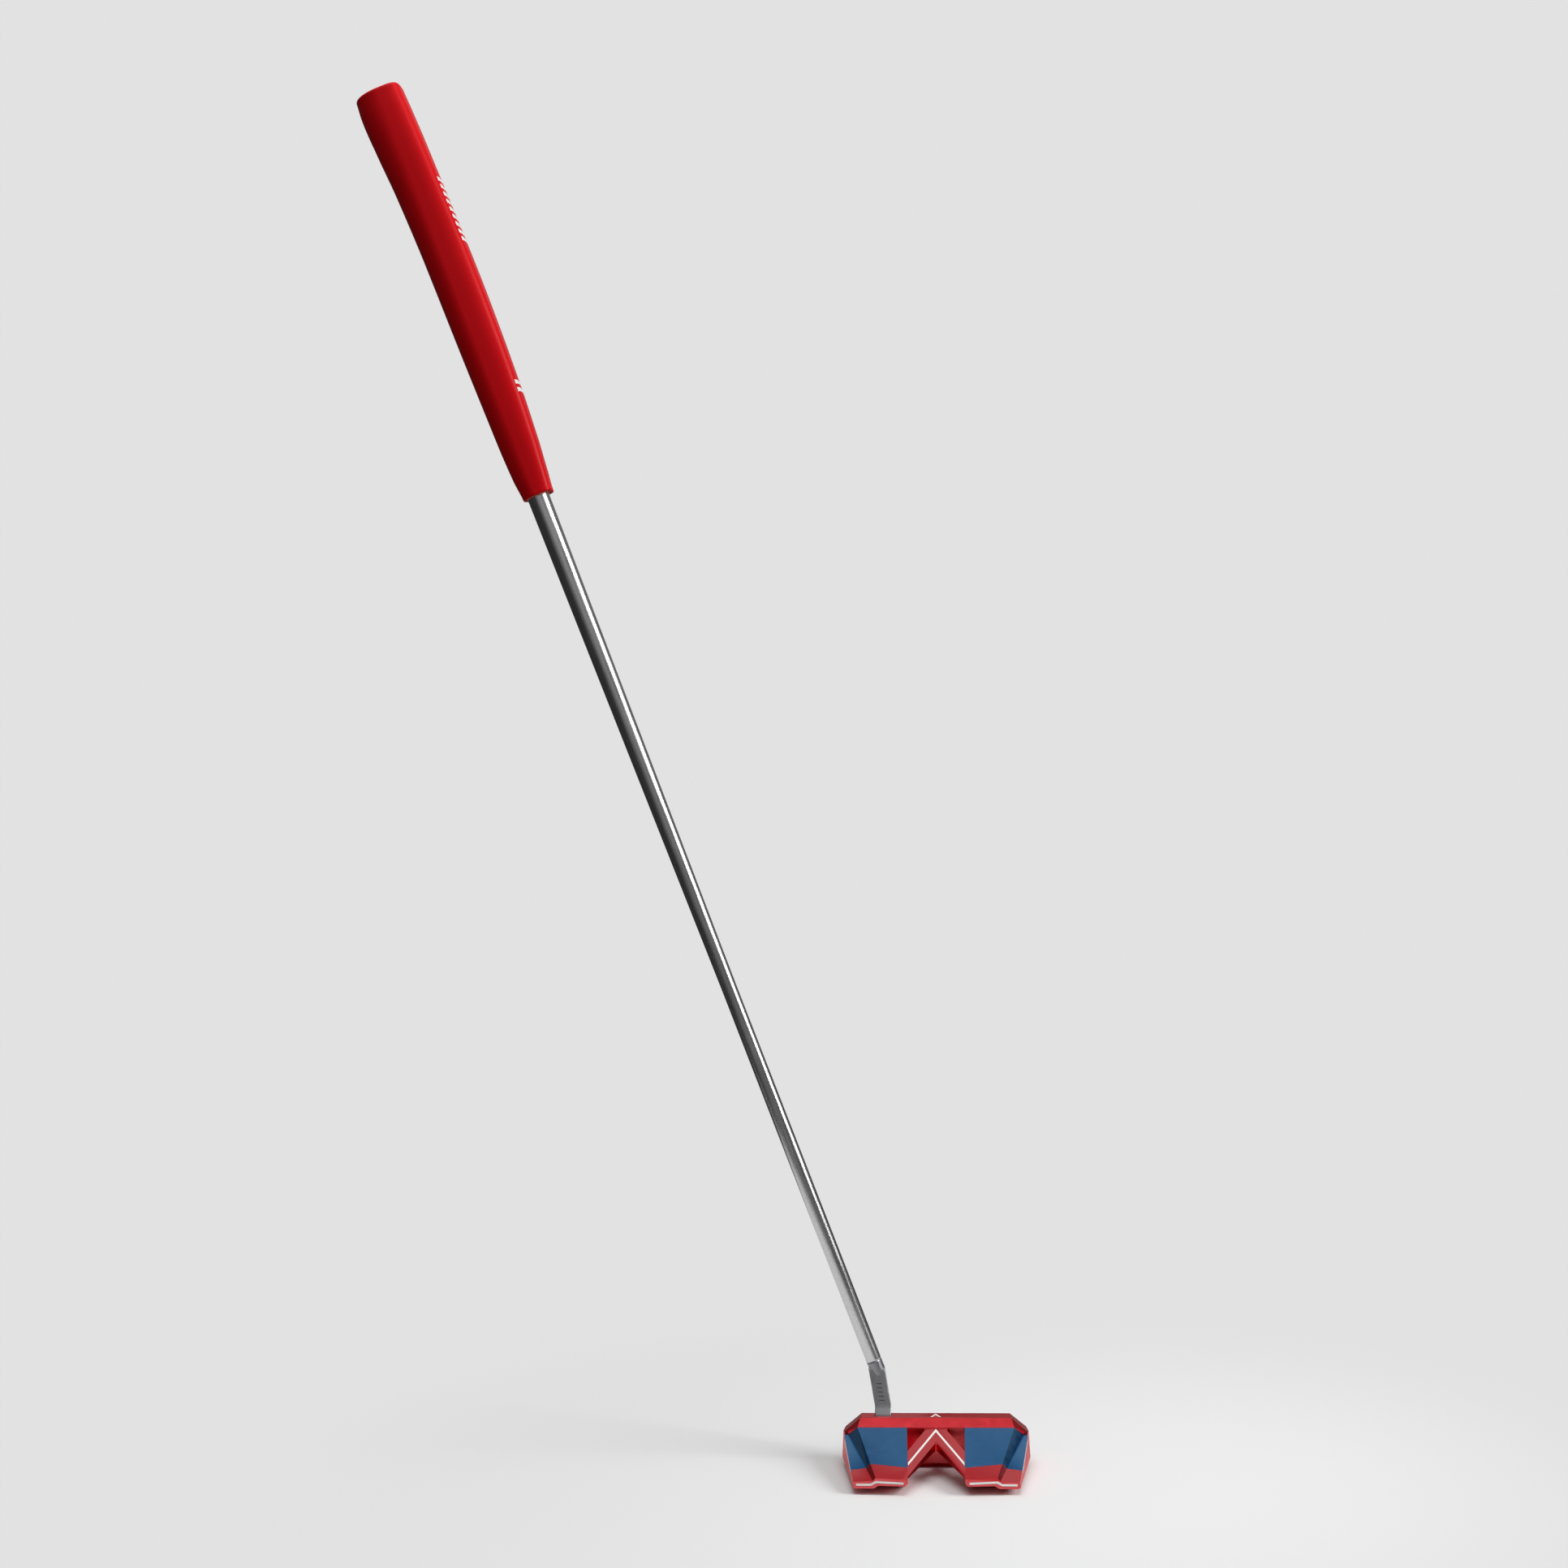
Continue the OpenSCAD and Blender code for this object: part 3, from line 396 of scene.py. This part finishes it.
# ---------- Head ----------
BRACE_SLOPE = (DECK_FRONT_H - DECK_REAR_H) / (BLOCK_Y - TIP_Y)


def on_brace(u, v, h):
    return (u, v, DECK_REAR_H - BRACE_DROP + BRACE_SLOPE * (v - TIP_Y) + h)


def on_topline(u, v, h):
    return (u, v, HEAD_H + h)


def on_rear_face(mirror):
    """Places u outwards from the channel and v up, on one wing's swept rear face."""
    sweep = math.atan2(TIP_SWEEP, TIP_HALF - CHANNEL_REAR)

    def place(u, v, h):
        x = CHANNEL_REAR + u * math.cos(sweep) + h * math.sin(sweep)
        y = TIP_Y + u * math.sin(sweep) - h * math.cos(sweep)
        return (x * mirror, y, v)
    return place


def sight_v():
    """V along the brace's arms, cut off upright at the channel's rear half-width."""
    notch_y = BLOCK_Y - BRACE_NOTCH_SET
    spread = CHANNEL_REAR / (notch_y - (TIP_Y + BRACE_TAIL))
    apex_y = BLOCK_Y - 2.0
    reach_x = 19.0
    end_y = apex_y - reach_x / spread
    bm = ribbon([(-reach_x, end_y), (0, apex_y), (reach_x, end_y)], 1.36, on_brace, 0.36, -0.05)
    for way in (-1, 1):
        cut = bmesh.ops.bisect_plane(bm, geom=bm.verts[:] + bm.edges[:] + bm.faces[:], clear_outer=True,
                                     plane_co=(way * CHANNEL_REAR * MM, 0, 0), plane_no=(way, 0, 0))
        bmesh.ops.holes_fill(bm, edges=[e for e in cut["geom_cut"] if isinstance(e, bmesh.types.BMEdge)])
    return bm


def chevron():
    apex_y = FACE_Y - CHEVRON_LEAD
    half = CHEVRON_D * CHEVRON_SPREAD
    points = [(-half, apex_y - CHEVRON_D), (0, apex_y), (half, apex_y - CHEVRON_D)]
    return ribbon(points, 1.3, on_topline, 0.36, -0.04)


def rear_line(mirror):
    """Line along a wing's rear face, stepping down at the crease to the tip's lower half."""
    mid = DECK_REAR_H - REAR_FACE_H * 0.46
    low = (EDGE_REAR_H + SHELF_REAR_H) / 2 + 0.25
    crease = CREASE_REAR - CHANNEL_REAR
    points = [(2.4, mid - 0.4), (crease + 0.2, mid), (crease + 3, low),
              (TIP_HALF - CHANNEL_REAR - 1.2, low - 0.3)]
    return ribbon(points, 1.32, on_rear_face(mirror), 0.34, -0.04)


def white_fill(name, bm, node):
    fill = make_object(name, bm, WHITE, replaces=(node,))
    smooth_by_angle(fill, 30)


softened("head_body", "head_shell", RED, 0.22)
softened("heel_wing_panel", "heel_panel", BLUE, 0.10)
softened("toe_wing_panel", "toe_panel", BLUE, 0.10)
white_fill("brace_sight_fill", sight_v(), "brace_sight_line")
white_fill("topline_chevron_fill", chevron(), "topline_chevron")
for mirror, side in ((-1, "heel"), (1, "toe")):
    white_fill(side + "_rear_fill", rear_line(mirror), side + "_rear_line")


# ---------- Neck ----------
TOP_EASE = 0.35
POST_R = 4.68
POST_HALF = 4.72
POST_EASE = 1.5
# Distance down from the shaft's end, and radius
POST_STATIONS = (
    [(0.0, 4.42), (0.25, 4.62), (0.45, POST_R)] + [(1.0 + k * 0.7, POST_R) for k in range(11)]
    + [(8.8, 4.6), (9.5, 4.35), (10.1, 3.9), (10.5, 3.3), (10.75, 2.4), (10.85, 0.6)]
)


def rounded_box(xc, rear, front, half, r, steps=4):
    pts = []
    for cx, cy, start in ((xc + half - r, front - r, 0), (xc - half + r, front - r, 90),
                          (xc - half + r, rear + r, 180), (xc + half - r, rear + r, 270)):
        for k in range(steps + 1):
            a = math.radians(start + 90 * k / steps)
            pts.append((cx + r * math.cos(a), cy + r * math.sin(a)))
    return pts


def blade_at(z):
    """Centre x, rear y and front y of the blade at a height."""
    s = (z - FOOT_TOP) / (BEND_Z - FOOT_TOP)
    return (NECK_X - NECK_LEAN * s, BLADE_REAR + (SHAFT_Y - BLADE_HALF - BLADE_REAR) * s,
            BLADE_FRONT + (SHAFT_Y + BLADE_HALF - BLADE_FRONT) * s)


def blade_levels():
    """Height, centre x, rear y and front y of each level, from the tenon up to the bend."""
    levels = [(z, NECK_X, FOOT_REAR, FOOT_FRONT) for z in (TENON_LOW, HEAD_H - 0.1)]
    for k in range(5):
        s = k / 4
        levels.append((HEAD_H + FOOT_H * s, NECK_X, FOOT_REAR + NECK_FLARE * s,
                       FOOT_FRONT + NECK_FRONT_RUN * s))
    for k in range(1, 13):
        z = FOOT_TOP + (BEND_Z - FOOT_TOP) * k / 12
        levels.append((z, *blade_at(z)))
    return levels


def neck_blade(bm):
    """Tenon, foot and leaning blade, with an eased top."""
    outlines = [(z, rounded_box(xc, rear, front, NECK_HALF, 0.45)) for z, xc, rear, front in blade_levels()]
    xc, rear, front = blade_at(BEND_Z)
    top = rounded_box(xc, rear + TOP_EASE, front - TOP_EASE, NECK_HALF - TOP_EASE, 0.3)
    outlines.append((BEND_Z + TOP_EASE, top))
    rows = [[bm.verts.new((x * MM, y * MM, z * MM)) for x, y in outline] for z, outline in outlines]
    bridge(bm, rows)
    bm.faces.new(list(reversed(rows[0])))
    bm.faces.new(rows[-1])


def neck_post(bm, sides=72):
    """Round post in line with the shaft, held to the blade's width below the bend and ending in a nose."""
    rows = []
    for down, r in POST_STATIONS:
        ring = []
        for k in range(sides):
            a = 2 * math.pi * k / sides
            p = SHAFT_FRAME @ Vector((r * math.cos(a) * MM, r * math.sin(a) * MM, -(JOINT_DOWN + down) * MM))
            z = p.z / MM
            if z < BEND_Z + POST_EASE:
                xc = blade_at(min(z, BEND_Z))[0]
                ease = min(1.0, (BEND_Z + POST_EASE - z) / POST_EASE)
                x = p.x / MM
                held = max(xc - POST_HALF, min(xc + POST_HALF, x))
                p.x = (x + (held - x) * ease) * MM
            ring.append(bm.verts.new(p))
        rows.append(ring)
    bridge(bm, rows)
    bm.faces.new(list(reversed(rows[0])))
    bm.faces.new(rows[-1])


def neck_mesh():
    bm = bmesh.new()
    neck_blade(bm)
    neck_post(bm)
    return bm


neck = make_object("neck_piece", neck_mesh(), NECK_STEEL, replaces=("neck",))
smooth_by_angle(neck, 38)


# ---------- Shaft ----------
# How far the tip's rounded edge stands in from the outside, and up from the shaft's end
TIP_EDGE = ((0, 0.9), (0.03, 0.45), (0.16, 0.15), (0.42, 0))
TAPER_STEPS = 30


def shaft_mesh():
    butt, tip = BUTT_SHAFT_R, TIP_R
    profile = [(butt - SHAFT_WALL, -SHAFT_TOP), (butt, -SHAFT_TOP), (butt, -90.0), (butt, -178.0),
               (butt - 0.01, -TAPER_START)]
    for k in range(1, TAPER_STEPS):
        s = k / TAPER_STEPS
        profile.append((butt - (butt - tip) * s, -TAPER_START - (TAPER_END - TAPER_START) * s))
    profile += [(tip, -TAPER_END), (tip, -700.0)]
    profile += [(tip - inset, rise - JOINT_DOWN) for inset, rise in TIP_EDGE]
    profile += [(tip - SHAFT_WALL, -JOINT_DOWN), (tip - SHAFT_WALL, -TAPER_END),
                (butt - SHAFT_WALL, -TAPER_START), (butt - SHAFT_WALL, -SHAFT_TOP)]
    bm = lathe(profile, 96)
    bmesh.ops.remove_doubles(bm, verts=bm.verts, dist=1e-7)
    return bm


shaft = make_object("shaft_tube", shaft_mesh(), SHAFT_STEEL, replaces=("shaft",),
                    matrix=SHAFT_FRAME)
smooth_by_angle(shaft, 30)


# ---------- Grip ----------
GRIP_SIDES = 192
MID_SECTION = (14.5, 14.0, 12.6)
BUTT_STEPS = 8
SLEEVE_STEPS, SLEEVE_END = 220, 261.2
SEAM_DEPTH, SEAM_ANGLE = 0.10, 0.022
# Radius and distance down: the vent hole, the domed cap, then the groove round it
CAP_PROFILE = (
    (VENT_R, 3.6), (VENT_R, 0.35), (1.62, 0.12), (1.9, -0.02), (4.0, -0.10), (6.5, -0.06), (8.5, 0.06),
    (8.95, 0.16), (9.05, 0.5), (9.25, 0.5), (9.35, 0.1),
)
# Distance down, and how far the plain edge stands proud of the sleeve
MOUTH_EDGE = ((262.2, 0.0), (263.2, 0.06), (264.1, 0.08), (264.6, -0.02), (264.9, -0.3), (265.0, -0.8))
MOUTH_BORE = ((8.2, 264.8), (7.35, 264.3), (7.3, 262.0))


def reach(share):
    """Reach to the front, rear and side at a share of the grip's length, on a smooth curve."""
    last = len(GRIP_STATIONS) - 1
    i = 0
    while i < last - 1 and share > GRIP_STATIONS[i + 1][0]:
        i += 1
    s = (share - GRIP_STATIONS[i][0]) / (GRIP_STATIONS[i + 1][0] - GRIP_STATIONS[i][0])
    near = [GRIP_STATIONS[max(0, min(last, k))] for k in range(i - 1, i + 3)]
    out = []
    for c in (1, 2, 3):
        a, b, d, e = (station[c] for station in near)
        out.append(0.5 * (2 * b + (d - a) * s + (2 * a - 5 * b + 4 * d - e) * s * s
                          + (3 * b - a - 3 * d + e) * s ** 3))
    return out


def section(size, angle):
    """Point of a cross-section with a flat front and a round rear."""
    c, s = math.cos(angle), math.sin(angle)
    power = FLAT_POWER if c > 0 else ROUND_POWER
    x = (size[0] if c > 0 else size[1]) * math.copysign(abs(c) ** power, c)
    y = size[2] * math.copysign(abs(s) ** power, s)
    return x, y


def even_angles(size, sides, steps=2880):
    """Angles that space the section's points evenly along its outline."""
    pts = [section(size, 2 * math.pi * k / steps) for k in range(steps + 1)]
    run = [0.0]
    for a, b in zip(pts, pts[1:]):
        run.append(run[-1] + math.hypot(b[0] - a[0], b[1] - a[1]))
    out, k = [], 0
    for j in range(sides):
        target = run[-1] * j / sides
        while run[k + 1] < target:
            k += 1
        s = (target - run[k]) / max(run[k + 1] - run[k], 1e-9)
        out.append(2 * math.pi * (k + s) / steps)
    return out


def towards_circle(radius, share):
    """Moves a section's points part or all of the way to a circle."""
    def shape(x, y):
        k = radius / math.hypot(x, y)
        return x * (1 - share) + x * k * share, y * (1 - share) + y * k * share
    return shape


def grip_mesh():
    bm = bmesh.new()
    rows = []
    angles = even_angles(MID_SECTION, GRIP_SIDES)

    def add(down, inset=0, shape=None):
        size = [v - inset for v in reach(max(0.0, min(1.0, down / GRIP_L)))]
        ring = []
        for a in angles:
            x, y = section(size, a)
            seam = SEAM_DEPTH * math.exp(-(abs(a - math.pi) / SEAM_ANGLE) ** 2)
            scale = 1 - seam / math.hypot(x, y)
            x, y = x * scale, y * scale
            if shape:
                x, y = shape(x, y)
            ring.append(bm.verts.new((x * MM, y * MM, -down * MM)))
        rows.append(ring)

    for r, down in CAP_PROFILE:
        add(down, shape=towards_circle(r, 1.0))
    add(0.0, BUTT_R + 0.15, towards_circle(10.0, 0.35))
    for k in range(BUTT_STEPS + 1):
        a = math.radians(90 * (1 - k / BUTT_STEPS))
        add(BUTT_R * (1 - math.sin(a)), BUTT_R * (1 - math.cos(a)))
    for k in range(1, SLEEVE_STEPS + 1):
        add(BUTT_R + (SLEEVE_END - BUTT_R) * k / SLEEVE_STEPS)
    for down, proud in MOUTH_EDGE:
        add(down, -proud)
    for r, down in MOUTH_BORE:
        add(down, shape=towards_circle(r, 1.0))
    bridge(bm, rows)
    bm.faces.new(rows[0])
    return bm


grip = make_object("grip_sleeve", grip_mesh(), RUBBER, replaces=("grip_skin", "butt_cap"),
                   matrix=SHAFT_FRAME)
smooth_by_angle(grip, 50)


# Printed dashes on the grip's front
PRINT_LOW_Y, PRINT_HIGH_Y = -8.4, 3.2
PRINT_LIFT = 0.06
PRINT_CELLS = 14


def front_patch(bm, down_a, down_b):
    """Thin printed patch that follows the grip's front face."""
    grid = []
    for i in range(PRINT_CELLS + 1):
        row = []
        for j in range(PRINT_CELLS + 1):
            down = down_a + (down_b - down_a) * i / PRINT_CELLS
            y = PRINT_LOW_Y + (PRINT_HIGH_Y - PRINT_LOW_Y) * j / PRINT_CELLS
            size = reach(down / GRIP_L)
            s = min(0.999, abs(y) / size[2]) ** (1 / FLAT_POWER)
            x = size[0] * (math.sqrt(1 - s * s)) ** FLAT_POWER
            row.append(bm.verts.new(((x + PRINT_LIFT) * MM, y * MM, -down * MM)))
        grid.append(row)
    for i in range(PRINT_CELLS):
        for j in range(PRINT_CELLS):
            bm.faces.new((grid[i][j], grid[i + 1][j], grid[i + 1][j + 1], grid[i][j + 1]))


def grip_print():
    bm = bmesh.new()
    starts = [MARK_START + MARK_PITCH * k for k in range(MARK_COUNT)]
    starts += [LOW_MARK_START, LOW_MARK_START + MARK_PITCH]
    for start in starts:
        front_patch(bm, start, start + MARK_L)
    return bm


make_object("grip_dashes", grip_print(), PRINT, replaces=("grip_marks",),
            matrix=SHAFT_FRAME)


# ---------- Finishes on the CAD nodes that stay ----------
FINISHES = {
    "face_insert": INSERT, "heel_weight": WEIGHT, "toe_weight": WEIGHT, "heel_weight_screw": SCREW,
    # The side strips take the pale silver that stands for the wing walls' reflection of the backdrop: a
    # painted reflection.
    "toe_weight_screw": SCREW, "heel_weight_clip": CLIP, "toe_weight_clip": CLIP, "heel_side_strip": SIDE_REFLECTION_STRIP,
    "toe_side_strip": SIDE_REFLECTION_STRIP, "neck_screw": SCREW, "neck_marks": MARK, "shaft_bond": EPOXY, "grip_tape": TAPE,
    "grip_underlisting": FOAM,
}
for node, material in FINISHES.items():
    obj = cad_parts[node]
    obj.data.materials.clear()
    obj.data.materials.append(material)
    smooth_by_angle(obj, 30)


# ---------- Floor, backdrop and light; lengths in metres ----------
PALE = srgb(226, 226, 226)
FLOOR_ALBEDO = 0.8
FLOOR_SIZE = 30.0
LIT_RADIUS = 0.45
FLOOR_DROP, FAR_FLOOR_DROP = 0.02 * MM, 0.2 * MM
# Height of the direction's unit vector, and tone
WORLD_RAMP = ((0.0, 0.06), (0.27, 0.45), (0.6, 0.55), (1.0, 0.62))
WORLD_SIDES = 0.25


def pale_material(name, lit_radius=None):
    """Even pale tone. With a radius, matte and lit around the object and even further out."""
    mat = bpy.data.materials.new(name)
    mat.use_nodes = True
    tree = mat.node_tree
    tree.nodes.clear()
    out = tree.nodes.new("ShaderNodeOutputMaterial")
    glow = tree.nodes.new("ShaderNodeEmission")
    glow.inputs["Color"].default_value = PALE
    if lit_radius is None:
        tree.links.new(glow.outputs[0], out.inputs["Surface"])
        return mat
    matte = tree.nodes.new("ShaderNodeBsdfDiffuse")
    matte.inputs["Color"].default_value = (FLOOR_ALBEDO, FLOOR_ALBEDO, FLOOR_ALBEDO, 1)
    geo = tree.nodes.new("ShaderNodeNewGeometry")
    dist = tree.nodes.new("ShaderNodeVectorMath")
    dist.operation = "LENGTH"
    tree.links.new(geo.outputs["Position"], dist.inputs[0])
    fade = tree.nodes.new("ShaderNodeMapRange")
    fade.interpolation_type = "SMOOTHSTEP"
    fade.inputs["From Min"].default_value = lit_radius * 0.25
    fade.inputs["From Max"].default_value = lit_radius
    tree.links.new(dist.outputs["Value"], fade.inputs["Value"])
    mix = tree.nodes.new("ShaderNodeMixShader")
    tree.links.new(fade.outputs["Result"], mix.inputs["Fac"])
    tree.links.new(matte.outputs[0], mix.inputs[1])
    tree.links.new(glow.outputs[0], mix.inputs[2])
    tree.links.new(mix.outputs[0], out.inputs["Surface"])
    return mat


def staged(name, bm, material):
    mesh = bpy.data.meshes.new(name)
    bm.to_mesh(mesh)
    bm.free()
    mesh.materials.append(material)
    obj = bpy.data.objects.new(name, mesh)
    bpy.context.scene.collection.objects.link(obj)
    return obj


def disc(radius):
    bm = bmesh.new()
    bmesh.ops.create_circle(bm, cap_ends=True, segments=96, radius=radius)
    return bm


def studio():
    """Pale floor round the object, then a far floor and a backdrop of one tone that only the camera sees."""
    floor = staged("floor", disc(LIT_RADIUS), pale_material("pale_floor", LIT_RADIUS))
    floor.location.z = -FLOOR_DROP
    far = staged("far_floor", disc(FLOOR_SIZE), pale_material("pale_far_floor"))
    far.location.z = -FAR_FLOOR_DROP
    bm = bmesh.new()
    bmesh.ops.create_uvsphere(bm, u_segments=64, v_segments=32, radius=FLOOR_SIZE - 1)
    dome = staged("backdrop", bm, pale_material("pale_backdrop"))
    for obj in (far, dome):
        for flag in ("visible_diffuse", "visible_glossy", "visible_shadow", "visible_transmission"):
            setattr(obj, flag, False)


def soft_world():
    """Studio surroundings: bright overhead, dim near the horizon and to both sides."""
    world = bpy.data.worlds.new("studio")
    bpy.context.scene.world = world
    world.use_nodes = True
    tree = world.node_tree
    back = tree.nodes["Background"]
    coord = tree.nodes.new("ShaderNodeTexCoord")
    sep = tree.nodes.new("ShaderNodeSeparateXYZ")
    tree.links.new(coord.outputs["Generated"], sep.inputs[0])
    ramp = tree.nodes.new("ShaderNodeValToRGB")
    ramp.color_ramp.interpolation = "B_SPLINE"
    elements = ramp.color_ramp.elements
    while len(elements) < len(WORLD_RAMP):
        elements.new(0.5)
    for e, (height, tone) in zip(elements, WORLD_RAMP):
        e.position = height
        e.color = (tone, tone, tone, 1)
    tree.links.new(sep.outputs["Z"], ramp.inputs["Fac"])
    tree.links.new(ramp.outputs["Color"], back.inputs["Color"])
    across = tree.nodes.new("ShaderNodeMath")
    across.operation = "ABSOLUTE"
    tree.links.new(sep.outputs["X"], across.inputs[0])
    sides = tree.nodes.new("ShaderNodeMapRange")
    sides.interpolation_type = "SMOOTHSTEP"
    for key, value in (("From Min", 0.15), ("From Max", 0.65), ("To Min", 1.0), ("To Max", WORLD_SIDES)):
        sides.inputs[key].default_value = value
    tree.links.new(across.outputs[0], sides.inputs["Value"])
    tree.links.new(sides.outputs["Result"], back.inputs["Strength"])


def softbox(name, place, aim, width, height, power):
    light = bpy.data.lights.new(name, "AREA")
    light.shape = "RECTANGLE"
    light.size, light.size_y = width, height
    light.energy = power
    obj = bpy.data.objects.new(name, light)
    bpy.context.scene.collection.objects.link(obj)
    obj.location = place
    obj.rotation_euler = (Vector(aim) - Vector(place)).to_track_quat("-Z", "Y").to_euler()


studio()
soft_world()
softbox("overhead_soft", (0.0, -0.35, 2.2), (0, 0, 0), 1.8, 0.9, 18)
softbox("right_soft", (1.9, -0.55, 1.35), (-0.15, 0, 0.45), 0.9, 1.4, 40)


# ---------- Camera, at the photograph's viewing angle ----------
YAW, PITCH, ROLL = (math.radians(v) for v in (3.476, 0.353, -0.816))
CAMERA_PLACE = Vector((0.0, -1.40685, 0.41651))
LENS, SENSOR = 54.0, 36.0


def photo_camera():
    fwd = Vector((-math.sin(YAW) * math.cos(PITCH), math.cos(YAW) * math.cos(PITCH), -math.sin(PITCH)))
    level_right = Vector((math.cos(YAW), math.sin(YAW), 0))
    level_up = level_right.cross(fwd)
    right = level_right * math.cos(ROLL) + level_up * math.sin(ROLL)
    up = -level_right * math.sin(ROLL) + level_up * math.cos(ROLL)
    cam = bpy.data.objects.new("camera", bpy.data.cameras.new("camera"))
    bpy.context.scene.collection.objects.link(cam)
    cam.data.sensor_width = SENSOR
    cam.data.sensor_height = SENSOR
    cam.data.lens = LENS
    cam.data.clip_start, cam.data.clip_end = 0.05, 100
    turn = Matrix((right, up, -fwd)).transposed().to_4x4()
    turn.translation = CAMERA_PLACE
    cam.matrix_world = turn
    bpy.context.scene.camera = cam


photo_camera()
scene = bpy.context.scene
scene.view_settings.view_transform = "Standard"
scene.view_settings.look = "None"
scene.view_settings.exposure = 0.0
scene.view_settings.gamma = 1.0
scene.cycles.max_bounces = 8
